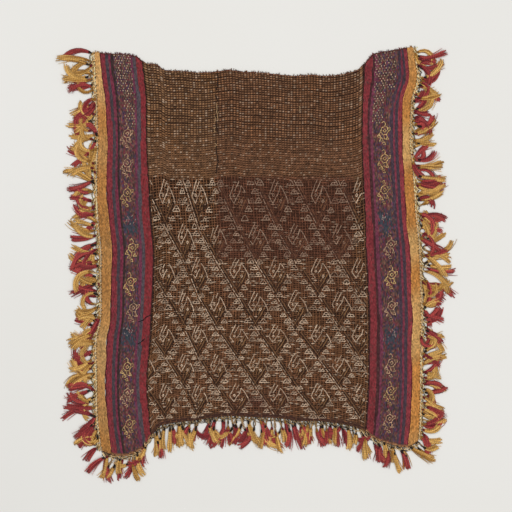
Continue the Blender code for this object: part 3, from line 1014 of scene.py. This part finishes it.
# Middles of the birds and of the blue figures woven in each band: x, y
LEFT_BIRDS = (
    (-192, 192), (-192, 148), (-192, 103.5), (-184.5, 21), (-187.5, -30), (-183, -69),
    (-192, -157.5), (-192, -196.5), (-189, -243),
)
RIGHT_BIRDS = (
    (193.5, 196.5), (193.5, 154.5), (193.5, 108), (202.5, 26), (204, -19.5), (204, -66),
    (204, -151.5), (202.5, -193.5), (201, -235.5),
)
LEFT_FIGURES = ((-186, 58.5), (-189, -108))
RIGHT_FIGURES = ((195, 63), (204, -111))

# One bird of a band, in mm from its middle
BAND_BIRD = (
    ((-3.4, 14.7), (-0.4, 17.2), (2.0, 13.4), (1.2, 10.6)),
    ((1.2, 10.6), (-3.9, 7.2), (-5.2, 1.9), (-1.7, -2.8), (3.4, -2.0), (6.2, 2.6), (5.2, 7.8), (1.2, 10.6)),
    ((-1.6, 3.4), (0.9, 6.0), (3.2, 3.4), (0.9, 0.8), (-1.6, 3.4)),
    ((5.6, 7.3), (9.4, 8.2), (8.8, 4.3), (6.2, 2.6)),
    ((-5.0, 1.2), (-7.6, -1.7), (-9.9, -6.2), (-5.2, -6.5), (-7.6, -1.7)),
    ((-4.2, -6.8), (-7.0, -12.4), (-1.4, -12.2), (-4.2, -6.8)),
    ((3.4, -2.0), (4.6, -5.6), (6.8, -9.2), (2.4, -9.4), (4.6, -5.6)),
    ((-3.0, -15.6), (0.2, -13.4), (1.8, -17.4), (-1.6, -17.6)),
    ((-0.6, -4.0), (0.4, -9.6)),
)


def band_share(side, u, v):
    """Share of the band's width inwards from the tape, read on stripes that wander down the band."""
    inwards = u if side == "left" else 1 - u
    if side == "right":
        narrow = NARROWER * np.clip(1 - v / NARROW_END, 0, 1)
        inwards = inwards + narrow * np.clip(inwards / NARROW_WITHIN, 0, 1)
    drift = smooth_read(BAND_DRIFT, v, 1 if side == "left" else 2)
    return inwards - drift * np.clip((inwards - 0.3) / 0.35, 0.0, 1.0)


def build_band(side, web, stripes, motif_ground, figures):
    """A warp faced band: packed warps, each with the dye of its stripe."""
    seed = SEEDS[f"band_{side}"]
    u = (np.arange(BAND_WARPS) + 0.5) / BAND_WARPS
    v = np.linspace(0.0, 1.0, BAND_POINTS)
    u, v = np.meshgrid(u, v, indexing="ij")
    x, y = web_place(web, u, v)
    bead = np.cos((np.arange(BAND_POINTS)[None] + np.arange(BAND_WARPS)[:, None]) * math.pi)
    z = relief(x, y) + BAND_LIFT + BAND_BEAD * bead
    inwards = band_share(side, u, v) + wander(seed, 1, BAND_POINTS, 30) * 0.010
    colour = np.zeros(u.shape + (3,))
    start = -1.0
    for end, code in stripes:
        inside = (inwards >= start) & (inwards < end + 0.05 * (end == 1.0))
        colour[inside] = dye(code)
        start = end
    # Warps of several dyes come up by turns where the birds are woven
    picks = np.random.default_rng(seed + 1)
    ground = (inwards > motif_ground[0]) & (inwards < motif_ground[1])
    speckle = picks.integers(0, len(SPECKLE_DYES), u.shape)
    for k, code in enumerate(SPECKLE_DYES):
        colour[ground & (speckle == k)] = dye(code)
    for at_x, at_y in figures:
        near = np.exp(-((x - at_x) / FIGURE_ACROSS) ** 2 - ((y - at_y) / FIGURE_ALONG) ** 2)
        blue = (near + picks.uniform(-0.35, 0.35, u.shape) > 0.55) & (speckle != 0)
        colour[blue & ground] = dye(FIGURE_BLUE)
        colour[blue & ground & (speckle == 2)] = dye(FIGURE_DEEP_BLUE)
    # Here and there a duller warp shows through a stripe
    stray = (picks.uniform(0, 1, u.shape) < STRAY_SHARE) & ~ground
    colour[stray] = colour[stray] * (1 - STRAY_MIX) + dye(STRAY_DYE) * STRAY_MIX
    colour = colour * (1 + BAND_UNEVEN * picks.uniform(-1, 1, u.shape))[..., None]
    warps = yarns(np.stack((x, y, z), axis=2), BAND_YARN_WIDE, BAND_YARN_HIGH, colour)
    return make_piece(f"band_{side}_web", [warps], BAND_WOOL, "band_cloth", f"band_{side}")


def lay_dots(parts, picks, side, web, motif_ground):
    """Staggered rows of tan dots in the upper part of a band's motif ground, some of them worn away."""
    low, high = motif_ground
    for row in range(DOT_ROWS):
        v = (FIRST_DOTS + DOT_PITCH * row) / BAND_LONG
        above = row < DOT_ROWS * 0.5
        first = low + DOTS_START if above else high - LOWER_DOTS_WIDE
        count = DOTS_ABOVE if above else DOTS_BELOW
        drift = float(smooth_read(BAND_DRIFT, v, 1 if side == "left" else 2))
        for share in np.linspace(first, high - DOTS_END + drift, count) + DOT_STAGGER * (row % 2):
            if picks.uniform() < 0.16:
                continue
            u = share if side == "left" else 1 - share
            x, y = web_place(web, np.array(u), np.array(v))
            x = float(x) + picks.uniform(-0.4, 0.4)
            y = float(y) + picks.uniform(-0.4, 0.4)
            line = [(x, y + 0.9), (x + picks.uniform(-0.3, 0.3), y - 0.9)]
            tone = dye(DOT_DYE) * picks.uniform(0.25, 1.0)
            dot = float_yarn(line, DOT_WIDE, FLOAT_HIGH, BAND_FLOAT_LIFT, tone, picks, 0.15, 0.0)
            parts.append(dot)


def build_band_motifs(side, web, birds, figures, motif_ground):
    """The birds, the specks on the blue figures and the rows of dots, as yarns that float on the band."""
    picks = np.random.default_rng(SEEDS[f"motifs_{side}"])
    parts = []
    for x, y in birds:
        code = BAND_BIRD_DYES[picks.integers(0, len(BAND_BIRD_DYES))]
        for line in BAND_BIRD:
            moved = [(x + a, y + b) for a, b in line]
            for ends in zip(moved, moved[1:]):
                tone = dye(code) * picks.uniform(0.55, 1.15)
                thread = float_yarn(
                    ends, BAND_BIRD_WIDE, FLOAT_HIGH, BAND_FLOAT_LIFT, tone, picks, 0.4, 0.4
                )
                parts.append(thread)
    for x, y in figures:
        for _ in range(SPECKS):
            at = (x + picks.uniform(-7, 7), y + picks.uniform(2, 15))
            line = [at, (at[0] + picks.uniform(-1.5, 1.5), at[1] - 2.2)]
            tone = dye(SPECK_DYE)
            parts.append(float_yarn(line, 1.0, FLOAT_HIGH, BAND_FLOAT_LIFT, tone, picks, 0.1, 0.0))
    lay_dots(parts, picks, side, web, motif_ground)
    return make_piece(f"band_{side}_motifs", parts, BROCADE_WOOL, "band_cloth")


# The tapes' yarns: how many, their points, width, thickness, height, and how far a bead stands out
TAPE_YARNS = 9
TAPE_POINTS = 290
TAPE_YARN_WIDE = 1.7
TAPE_YARN_HIGH = 1.1
TAPE_LIFT = 1.3
TAPE_BEAD = 0.25
# How far the inner edge waves in and out, and how much higher it lies, on the band's edge
TAPE_WAVE = 1.3
TAPE_OVERLAP = 0.5
# The tapes' ochre where it is fresh and where the sun has faded it
TAPE_DYES = {"left": ("#c2894a", "#cfa368"), "right": ("#c88a47", "#d3a668")}
# A tape's tone at its top and how it runs to its foot: the left one darkens, the right one lightens
TAPE_TONES = {"left": (1.03, -0.14), "right": (0.94, 0.1)}
# Brown stitches that bind its outer edge: how far in they lie, pitch, the run of the tape, their dye
STITCH_INSIDE = 0.04
STITCH_PITCH = 4.4
TAPE_LONG = 592.0
STITCH_DYE = "#6e5226"


def build_tape(side, web):
    """The ochre edging tape, beaten close, its inner edge waving over the band."""
    seed = SEEDS[f"tape_{side}"]
    u = (np.arange(TAPE_YARNS) + 0.5) / TAPE_YARNS
    v = np.linspace(0.0, 1.0, TAPE_POINTS)
    u, v = np.meshgrid(u, v, indexing="ij")
    x, y = web_place(web, u, v)
    # The tape was eased on by hand, so its inner edge runs in and out by a yarn's width
    inner = u if side == "left" else 1 - u
    wave = wander(seed, 1, TAPE_POINTS, 13) * TAPE_WAVE
    x = x + wave * inner ** 2 * (1 if side == "left" else -1)
    bead = np.cos((np.arange(TAPE_POINTS)[None] + np.arange(TAPE_YARNS)[:, None]) * math.pi)
    z = relief(x, y) + TAPE_LIFT + TAPE_BEAD * bead + TAPE_OVERLAP * inner ** 2
    picks = np.random.default_rng(seed)
    tone = 1 + 0.36 * picks.uniform(-1, 1, u.shape)
    tone = tone + 0.12 * wander(seed + 1, TAPE_YARNS, TAPE_POINTS, 3)
    # Its innermost yarns, raised where the tape lies over the band, are painted lighter: a painted
    # highlight
    tone = tone * np.where(inner > 0.85, 1.10, 1.0)
    top_tone, run_down = TAPE_TONES[side]
    tone = tone * (top_tone + run_down * v)
    faded_share = 0.5 + wander(seed + 2, 1, TAPE_POINTS, 24)
    fresh, sunned = TAPE_DYES[side]
    colour = blend(dye(fresh), dye(sunned), faded_share) * tone[..., None]
    warps = yarns(np.stack((x, y, z), axis=2), TAPE_YARN_WIDE, TAPE_YARN_HIGH, colour)
    tape = make_piece(f"tape_{side}_web", [warps], TAPE_WOOL, "ochre_tape", f"tape_{side}")

    # One stitch for each pitch down the outer edge, some of them worn away
    stitches = []
    outer = STITCH_INSIDE if side == "left" else 1 - STITCH_INSIDE
    for at in np.arange(2.0, TAPE_LONG - 2.0, STITCH_PITCH):
        if picks.uniform() < 0.25:
            continue
        px, py = web_place(web, np.array(outer), np.array(at / TAPE_LONG))
        px = float(px) + picks.uniform(-0.4, 0.4)
        py = float(py)
        line = [(px - 0.9, py - 0.7), (px + 0.9, py + picks.uniform(0.3, 1.1))]
        tone = dye(STITCH_DYE) * picks.uniform(0.5, 1.5)
        stitches.append(float_yarn(line, 0.95, 0.8, 2.0, tone, picks, 0.2, 0.0))
    stitching = make_piece(f"tape_{side}_stitches", stitches, HEADER_CORD, "ochre_tape")
    return tape, stitching


# Whipping yarns along the webs' edges: points along a long edge, thickness, height over the ground
SEAM_POINTS = 260
WHIPPING_HIGH = 1.2
WHIPPING_LIFT = 1.3
# Seams down the long edges: web, edge of it, dye, and how far right of the edge
SEAMS = (
    (FIELD, 0.0, "#2c1a12", 0.3), (FIELD, 1.0, "#2c1a12", -0.3),
    (LEFT_BAND, 0.0, "#5e2428", 0.4), (RIGHT_TAPE, 0.0, "#5e2428", 0.4),
)
# Cords along the lower edge of the bands and the field: web, points, and each one's rise and dye.
# One more runs along the upper edge of each
HEM_CORDS = (
    (LEFT_BAND, 50, ((1.1, "#80563e"), (-0.5, "#a87850"))),
    (FIELD, 210, ((4.4, "#563a2a"), (2.8, "#482c22"), (1.1, "#442a22"), (-0.5, "#5a3a2a"))),
    (RIGHT_BAND, 50, ((1.1, "#80563e"), (-0.5, "#a87850"))),
)
TOP_CORD_DYE = "#552c22"
# The pucker's thread: its upper end, its stitches and their pitch
PUCKER_TOP = (-57, 286)
PUCKER_STITCHES = 18
PUCKER_PITCH = 8.4
# Dark yarns along two creases in the left band beside the field: painted shade of the creases
CREASE_SHADE_LINES = (
    ((-174.8, -86.7), (-167.0, -84.0), (-163.0, -79.5), (-156.2, -76.4)),
    ((-175.7, -120.2), (-170.0, -116.5), (-165.0, -111.5)),
)


def edge_cord(web, u, v, code, wide, off, picks):
    """A whipping yarn along one edge of a web, off mm towards the right and upwards."""
    x, y = web_place(web, u, v)
    run = np.arange(len(x)) * 0.78
    x = x + 0.5 * np.sin(run) + off[0]
    y = y + 0.4 * np.cos(run * 0.7) + off[1]
    z = relief(x, y) + WHIPPING_LIFT + 0.3 * np.cos(run)
    tone = dye(code) * picks.uniform(0.6, 1.3, len(x))[:, None]
    return yarns(np.stack((x, y, z), axis=1)[None], wide, WHIPPING_HIGH, tone[None])


def build_seams():
    """Seams and edge cords of the webs, the pucker's thread, and the painted shade of two creases in the
    left band.
    """
    picks = np.random.default_rng(SEEDS["seams"])
    parts = []
    run = np.linspace(0.0, 1.0, SEAM_POINTS)
    for web, u, code, off in SEAMS:
        parts.append(edge_cord(web, np.full(SEAM_POINTS, u), run, code, 2.0, (off, 0.0), picks))
    for web, points, cords in HEM_CORDS:
        u = np.linspace(0.0, 1.0, points)
        for rise, code in cords:
            parts.append(edge_cord(web, u, np.full(points, 1.0), code, 2.3, (0.0, rise), picks))
        parts.append(edge_cord(web, u, np.zeros(points), TOP_CORD_DYE, 1.9, (0.0, -0.8), picks))
    # The pucker in the upper part of the field is drawn in along a dark thread
    x, y = PUCKER_TOP
    pucker = [
        (x + 1.6 * math.sin(k * 1.3) + 0.8 * math.sin(k * 2.9), y - PUCKER_PITCH * k)
        for k in range(PUCKER_STITCHES + 1)
    ]
    for ends in zip(pucker, pucker[1:]):
        if picks.uniform() < 0.8:
            parts.append(float_yarn(ends, 1.5, 0.8, 2.0, dye("#2c1a10"), picks, 0.4, 0.2))
    # Painted shade: dark yarns along the creases
    for line in CREASE_SHADE_LINES:
        parts.append(float_yarn(line, 1.3, 0.5, 1.6, dye("#1a0e14"), picks, 0.2, 0.3))
    return make_piece("seam_stitches", parts, HEADER_CORD, "field_cloth")


# Frayed warp ends of the raw edge: web, dyes, how many
FRAYED = (
    (LEFT_TAPE, ("#b57c33", "#8a5a24"), 8),
    (LEFT_BAND, ("#86303a", "#3c3038", "#5c3646"), 46),
    (FIELD, ("#5f3b22", "#7a5336", "#3c2414"), 190),
    (RIGHT_BAND, ("#86303a", "#3c3038", "#5c3646"), 46),
    (RIGHT_TAPE, ("#b57c33", "#8a5a24"), 8),
)
# Pulled loops: x, y, length, and how far each bows, to which side
PULLED_LOOPS = (
    (-58, 240, 15, 0.4), (-55, 228, 12, -0.6), (-61, 222, 10, 0.9), (-59, 205, 8, -0.9),
    (-60, 181, 6, 0.9), (66, 236, 7, 0.6),
)
LOOP_DYE = "#ad8c66"


def build_loose_threads():
    """Frayed warp ends along the raw upper edge, and a few pulled loops, most of them at the pucker."""
    picks = np.random.default_rng(SEEDS["threads"])
    parts = []
    for web, codes, count in FRAYED:
        for _ in range(count):
            x, y = web_place(web, np.array(picks.uniform(0.02, 0.98)), np.array(0.0))
            x = float(x)
            y = float(y)
            reach = picks.uniform(0.6, 2.8)
            sway = picks.uniform(-1.6, 1.6)
            line = [(x, y - 1.5), (x + sway * 0.4, y + reach * 0.5), (x + sway, y + reach)]
            tone = dye(codes[picks.integers(0, len(codes))]) * picks.uniform(0.7, 1.4)
            parts.append(float_yarn(line, 0.75, 0.6, 1.2, tone, picks, 0.15, 0.1))
    for x, y, length, turn in PULLED_LOOPS:
        shares = np.linspace(0, 1, 7)
        bow = [(x + 2.4 * turn * math.sin(t * math.pi), y - length * t) for t in shares]
        parts.append(float_yarn(bow, 1.1, 0.9, 2.3, dye(LOOP_DYE), picks, 0.3, 0.2))
    return make_piece("loose_threads", parts, BROCADE_WOOL, "field_cloth")


def divided(points, parts):
    """The same broken line with each of its stretches cut into equal parts."""
    line = [points[0]]
    for (x0, y0), (x1, y1) in zip(points, points[1:]):
        for k in range(1, parts + 1):
            line.append((x0 + (x1 - x0) * k / parts, y0 + (y1 - y0) * k / parts))
    return line


def outer_lines():
    """The left, lower and right edges of the webs, cut as the part's source cuts them."""
    rows = np.arange(ROWS + 1) / ROWS
    left = np.stack(web_place(LEFT_TAPE, np.zeros(ROWS + 1), rows), axis=1) - (GAP / 2, 0)
    right = np.stack(web_place(RIGHT_TAPE, np.ones(ROWS + 1), rows), axis=1) + (GAP / 2, 0)
    lower = [tuple(left[-1])]
    for web, columns in enumerate(WEB_COLUMNS, LEFT_TAPE):
        u = np.arange(1, columns + 1) / columns
        x, y = web_place(web, u, np.ones(columns))
        lower += list(zip(x.tolist(), y.tolist()))
    lower[-1] = tuple(right[-1])
    return (
        divided([tuple(p) for p in left], STRETCHES),
        divided(lower, STRETCHES),
        divided([tuple(p) for p in right], STRETCHES),
    )


# Dyes of the cut yarn, each from a shaded to a lit tone: painted shade and light, which also streak the
# strands as uneven dye does
TUFT_RED = (dye("#701d25"), dye("#b84c46"))
TUFT_OCHRE = (dye("#9c6a2a"), dye("#e8b96a"))
# Strands of a tuft, with one stray one more, and the points of its middle line and of a strand
STRANDS = 9
SPINE_POINTS = 15
STRAND_POINTS = 8
STRAND_HIGH = 1.2
STRAND_WIDE = 2.1
# The stray strand's place beside the others, which lie from -1 to 1. Past THIN_PAST a strand is thin
STRAY_PLACE = 1.6
THIN_PAST = 1.05
THIN_WIDE = 1.2
# Lowest height of a strand's middle over the ground
LOWEST_STRAND = 0.75
# Header cords: dye, width, how far out they lie, swing, period, phase, height
SIDE_CORDS = (
    ("#e6c698", 1.8, 0.8, 1.1, 6.2, 0.0, 1.2), ("#cc9c58", 1.6, 2.6, 2.2, 8.3, 2.6, 1.3),
    ("#eedab0", 1.4, 4.4, 3.2, 11.3, 1.0, 1.2), ("#5a4a30", 1.3, 5.4, 3.4, 14.7, 4.4, 1.6),
)
BOTTOM_CORDS = (
    ("#543828", 2.0, 0.8, 0.9, 5.2, 0.0, 1.2), ("#c8a878", 1.5, 3.2, 2.6, 9.7, 2.6, 1.3),
    ("#2e1f18", 1.6, 4.4, 3.0, 11.3, 1.0, 1.2), ("#d8bc90", 1.3, 5.6, 3.4, 14.7, 4.4, 1.6),
)
# No tuft reaches further up the cloth than this
FRINGE_TOP = 330.0
# How tufts lie: the spread of their curl, swing and heading in degrees, the share that is curled
# right over and how far, and how tame the ones that hang at the bottom are beside the others
CURL_SPREAD = 62
SWING_SPREAD = 30
HEADING_SPREAD = 15
CURLED_SHARE = 0.28
CURLED_OVER = (110, 230)
TAME = 0.55
# A tuft is laid again straighter if it runs back over the web so far, or ends too near it
BACK_OVER = -0.5
END_OUT = 3.0
# Where tufts root beside the header's inner edge, and how many layers they lie in
ROOT_OUT = 0.6
LAYERS = 3
# Black yarn binds most tufts of the bottom, but few at the sides
DARK_SHARE = {"bottom": 0.7, "side": 0.35}
# Length of the bare cords before the binding, in points of the middle line
NECK = {"bottom": (1.8, 6.5), "side": (1.4, 4.2)}
# The first cord of a neck, the second one where it is black and where it isn't, and the binding
FIRST_CORD = {"bottom": "#a88860", "side": "#d8ba84"}
BLACK_CORD = "#2a221a"
TAN_CORD = "#9c7440"
BLACK_BINDING = "#211a17"
BINDING_WIDE = ((1.6, 3.0, 3.4, 3.2, 2.0),)
BINDING_HIGH = 2.0


def along_spine(spine, at):
    """Places on a line of points, read between them."""
    index = np.arange(len(spine))
    return np.stack([np.interp(at, index, column) for column in spine.T], axis=-1)


def spine_of(root, heading, curl, swing, length):
    """The middle line of one tuft, and the way across it at each point."""
    share = np.linspace(0.0, 1.0, SPINE_POINTS)
    angle = np.radians(heading + swing * (1 - share) + curl * np.clip(share - 0.15, 0, 1))
    ways = np.stack((np.cos(angle), np.sin(angle)), axis=1)
    stretch = length / (SPINE_POINTS - 1)
    spine = np.concatenate((np.zeros((1, 2)), np.cumsum(ways[:-1], axis=0))) * stretch + root
    return spine, np.stack((-ways[:, 1], ways[:, 0]), axis=1)


def tuft_strands(spine, ways, start, lift, lit_and_shaded_dyes, spread, picks):
    """Strands that leave the binding together, swell, and end ragged."""
    body = np.linspace(0.0, 1.0, STRAND_POINTS)
    strands = []
    widths = []
    colours = []
    places = np.linspace(-1, 1, STRANDS) + picks.uniform(-0.15, 0.15, STRANDS)
    for place in np.append(places, picks.choice((-STRAY_PLACE, STRAY_PLACE))):
        end = picks.uniform(0.82, 1.0)
        swell = 0.35 + 0.65 * np.sin(body * 2.1)
        splay = place * spread * swell + place * abs(place) * 1.3 * body ** 3
        splay = splay + 0.45 * np.sin(body * picks.uniform(5, 10) + picks.uniform(0, 6)) * body
        at = start + body * (SPINE_POINTS - 1 - start) * end
        middle = along_spine(spine, at) + along_spine(ways, at) * splay[:, None]
        mound = (1 - place * place) * picks.uniform(0.2, 1.0) * np.sin(body * math.pi * 0.9) * 1.7
        height = np.maximum(lift * (1 - 0.3 * body) + mound, LOWEST_STRAND)
        strands.append(np.concatenate((middle, height[:, None]), axis=1))
        widest = STRAND_WIDE if abs(place) < THIN_PAST else THIN_WIDE
        widths.append(widest - 0.9 * body ** 3)
        # Painted shade and light: each strand darker near the binding and lighter towards its end, on a
        # random tone between the two
        tone = blend(lit_and_shaded_dyes[0], lit_and_shaded_dyes[1], np.clip(picks.uniform(0, 1) + 0.3 * body - 0.15, 0, 1))
        colours.append(tone * picks.uniform(0.8, 1.12))
    return yarns(np.array(strands), np.array(widths), STRAND_HIGH, np.array(colours))


def header_cord(edge, push, code, wide, out, swing, period, phase, lift, picks):
    """A cord that runs along the edge of the webs in small uneven loops."""
    count = len(edge)
    at = np.linspace(0, count - 1, 5 * count)
    middle = along_spine(edge, at)
    run = np.concatenate(([0.0], np.cumsum(np.hypot(*np.diff(middle, axis=0).T))))
    uneven = wander(int(phase * 10) + 5, 1, len(at), 19)[0]
    turn = run / period * 2 * math.pi + phase + 1.6 * uneven
    reach = swing * (0.7 + 0.5 * wander(int(phase * 10) + 6, 1, len(at), 11)[0])
    away = HEADER_GAP + out + reach * (0.8 * np.sin(turn) + 0.3 * np.sin(turn * 0.37 + 2 * phase))
    slip = reach * 0.7 * np.cos(turn)
    x = middle[:, 0] + push[0] * away + push[1] * slip
    y = middle[:, 1] + push[1] * away - push[0] * slip
    z = lift + 0.5 * np.cos(turn)
    # Under the field the cords are thinner and darker than under the bands
    outside = np.clip((abs(x) - 140) / 20, 0, 1)
    wide = wide * (0.7 + 0.3 * outside)
    paler = 0.5 + 0.6 * outside
    paler = paler * (1 + 0.35 * wander(int(phase * 10) + 7, 1, len(at), 31)[0])
    tone = dye(code) * (paler * picks.uniform(0.6, 1.25, len(at)))[:, None]
    return yarns(np.stack((x, y, z), axis=1)[None], wide[None], 1.2, tone[None])


def build_fringe(side, line, outward, table, by_row, seed):
    """Tufts of cut yarn on twisted cords, two at each place where the part's source roots one."""
    lengths = random.Random(seed)
    picks = np.random.default_rng(seed)
    push = np.array((math.cos(math.radians(outward)), math.sin(math.radians(outward))))
    edgeways = np.array((-push[1], push[0]))
    turn = -1.0 if side == "right" else 1.0
    kind = "bottom" if side == "bottom" else "side"
    tame = TAME if side == "bottom" else 1.0
    tufts = []
    cords = []
    for number, k in enumerate(range(TUFT_EVERY // 2, len(line) - 1, TUFT_EVERY)):
        middle = (np.array(line[k]) + np.array(line[k + 1])) / 2
        reach = float(smooth_read(table, middle[by_row], 1))
        lean = float(smooth_read(table, middle[by_row], 2))
        length = (reach - HEADER_WIDE) * lengths.uniform(SHORTEST_TUFT, 1.0)
        heading = outward + turn * (lean + lengths.uniform(-LEAN_JITTER, LEAN_JITTER))
        heading += BEND * math.sin(middle[by_row] / BEND_RUN) * 0.5
        first_red = picks.uniform() < 0.5
        for half in (0, 1):
            # Most tufts lie nearly straight, some bow, and a few are curled over
            curl = picks.normal(0, CURL_SPREAD) * tame
            if picks.uniform() < CURLED_SHARE * tame:
                curl = picks.choice((-1, 1)) * picks.uniform(*CURLED_OVER)
            swing = picks.normal(0, SWING_SPREAD) * tame
            own = heading + picks.normal(0, HEADING_SPREAD) * tame
            slide = (half - 0.5) * picks.uniform(3.0, 6.0) + picks.uniform(-1, 1)
            root = middle + push * (HEADER_GAP + ROOT_OUT) + edgeways * slide
            full = length + HEADER_WIDE - ROOT_OUT
            full = full * (1.0 if half == 0 else picks.uniform(0.72, 1.0))
            full = full * (1 + 0.16 * min(abs(curl) / 120, 1.0))
            spine, ways = spine_of(root, own, curl, swing, full)
            # None stands up past the cloth's top, and none lies back over the web
            if spine[:, 1].max() > FRINGE_TOP:
                spine, ways = spine_of(root, heading + turn * 12, turn * abs(curl), 0.0, full)
            ways_out = (spine - root) @ push
            if ways_out.min() < BACK_OVER or ways_out[-1] < END_OUT:
                spine, ways = spine_of(root, heading, 0.3 * curl, 0.0, full)
            lift = 1.0 + (2 * number + half) % LAYERS
            neck = picks.uniform(*NECK[kind])

            # Neck: a pale cord and a black or tan one, wound together
            fine = np.linspace(0, neck, 6)
            wind = fine / neck * picks.uniform(1.5, 3.5) * math.pi + number
            loop = picks.uniform(0.6, 1.9)
            second = BLACK_CORD if picks.uniform() < DARK_SHARE[kind] else TAN_CORD
            for phase, code, wide in ((0.0, FIRST_CORD[kind], 1.5), (math.pi, second, 1.4)):
                beside = (np.sin(wind + phase) * loop)[:, None]
                flat = along_spine(spine, fine) + along_spine(ways, fine) * beside
                height = 1.1 + 0.4 * np.cos(wind + phase)
                path = np.concatenate((flat, height[:, None]), axis=1)
                cords.append(yarns(path[None], wide, 1.2, dye(code) * picks.uniform(0.7, 1.2)))
            # Binding: black yarn, or a dark red or ochre one, wrapped round the head of the tuft
            wrap = np.linspace(neck - 0.8, neck + picks.uniform(0.2, 1.5), 5)
            path = np.concatenate((along_spine(spine, wrap), np.full((5, 1), lift + 0.4)), axis=1)
            binding = (TUFT_RED if first_red else TUFT_OCHRE)[0] * 0.8
            if picks.uniform() < DARK_SHARE[kind]:
                binding = dye(BLACK_BINDING)
            cords.append(yarns(path[None], np.array(BINDING_WIDE), BINDING_HIGH, binding, 6))

            # The two at one place are mostly one red and one ochre, and ochre is a little commoner
            red = first_red == (half == 0)
            if picks.uniform() < 0.22:
                red = not red
            if picks.uniform() < 0.08:
                red = False
            lit_and_shaded_dyes = TUFT_RED if red else TUFT_OCHRE
            spread = picks.uniform(2.1, 3.7)
            tufts.append(tuft_strands(spine, ways, neck, lift, lit_and_shaded_dyes, spread, picks))

    edge = np.array(line)
    for cord in BOTTOM_CORDS if side == "bottom" else SIDE_CORDS:
        cords.append(header_cord(edge, push, *cord, picks))
    tuft_piece = make_piece(f"tufts_{side}", tufts, TUFT_WOOL, "tuft_yarn", f"fringe_{side}")
    cord_piece = make_piece(f"header_cords_{side}", cords, HEADER_CORD, "tuft_yarn")
    return [tuft_piece, cord_piece]


# Ground, light and camera, in metres. The photograph is 768 mm wide at the ground, and its middle is
# this place on the plan, in mm
BOARD_WIDE = 4.0
BOARD_BELOW = 0.0002
BOARD_DYES = ("#e4e2dc", "#e9e8e5")
SKY_STRENGTH = 0.50
SOFT_BOXES = (
    ("soft_box_left", (-0.7, 1.0, 2.3), 1.6, 24.5),
    ("soft_box_right", (1.4, -0.7, 2.3), 1.8, 24.5),
)
VIEW_WIDE = 0.768
VIEW_MIDDLE = (1.5, 12.0)
LENS = 85.0
SENSOR = 36.0


def build_stage():
    """A plain pale board under the cloth, soft even light and the camera straight above."""
    bpy.ops.mesh.primitive_plane_add(size=BOARD_WIDE, location=(0, 0, -BOARD_BELOW))
    floor = bpy.context.object
    floor.name = "floor_board"
    material = bpy.data.materials.new("matt_paper_board")
    material.use_nodes = True
    tree = material.node_tree
    shader = tree.nodes["Principled BSDF"]
    place = add_node(tree, "ShaderNodeTexCoord").outputs["Object"]
    grain = add_node(tree, "ShaderNodeTexNoise", {"Scale": 2.2, "Detail": 3.0}, {"Vector": place})
    tone = add_node(
        tree, "ShaderNodeMix",
        {"data_type": "RGBA", 6: paint(BOARD_DYES[0]), 7: paint(BOARD_DYES[1])},
        {0: grain.outputs["Fac"]},
    )
    tree.links.new(tone.outputs[2], shader.inputs["Base Color"])
    shader.inputs["Roughness"].default_value = 0.95
    shader.inputs["Specular IOR Level"].default_value = 0.1
    floor.data.materials.append(material)

    world = bpy.data.worlds.new("studio")
    bpy.context.scene.world = world
    world.use_nodes = True
    sky = world.node_tree.nodes["Background"]
    sky.inputs["Color"].default_value = paint("#ffffff")
    sky.inputs["Strength"].default_value = SKY_STRENGTH

    for name, place, size, watts in SOFT_BOXES:
        light = bpy.data.lights.new(name, "AREA")
        light.size = size
        light.energy = watts
        lamp = bpy.data.objects.new(name, light)
        lamp.location = place
        lamp.rotation_euler = (-Vector(place)).to_track_quat("-Z", "Y").to_euler()
        bpy.context.scene.collection.objects.link(lamp)

    view = bpy.data.cameras.new("camera_above")
    view.lens = LENS
    view.sensor_width = SENSOR
    camera = bpy.data.objects.new("camera_above", view)
    camera.location = (
        (VIEW_MIDDLE[0] - PLAN_MIDDLE[0]) * MM,
        (VIEW_MIDDLE[1] - PLAN_MIDDLE[1]) * MM,
        VIEW_WIDE * LENS / SENSOR,
    )
    bpy.context.scene.collection.objects.link(camera)
    bpy.context.scene.camera = camera
    bpy.context.scene.view_settings.view_transform = "Standard"


def build():
    """The whole cloth on its board."""
    build_stage()
    field_wefts, field_warps, hole_shade_sheet = build_field()
    brocade = build_brocade()
    pyramids = build_pyramids()
    seams = build_seams()
    threads = build_loose_threads()
    band_left = build_band("left", LEFT_BAND, LEFT_STRIPES, LEFT_GROUND, LEFT_FIGURES)
    band_right = build_band("right", RIGHT_BAND, RIGHT_STRIPES, RIGHT_GROUND, RIGHT_FIGURES)
    motifs_left = build_band_motifs("left", LEFT_BAND, LEFT_BIRDS, LEFT_FIGURES, LEFT_GROUND)
    motifs_right = build_band_motifs("right", RIGHT_BAND, RIGHT_BIRDS, RIGHT_FIGURES, RIGHT_GROUND)
    tape_left, stitches_left = build_tape("left", LEFT_TAPE)
    tape_right, stitches_right = build_tape("right", RIGHT_TAPE)
    left_line, lower_line, right_line = outer_lines()
    seed = SEEDS["tufts"]
    fringe_left = build_fringe("left", left_line, 180, LEFT_FRINGE, 1, seed)
    fringe_bottom = build_fringe("bottom", lower_line, 270, BOTTOM_FRINGE, 0, seed + 1)
    fringe_right = build_fringe("right", right_line, 0, RIGHT_FRINGE, 1, seed + 2)


build()
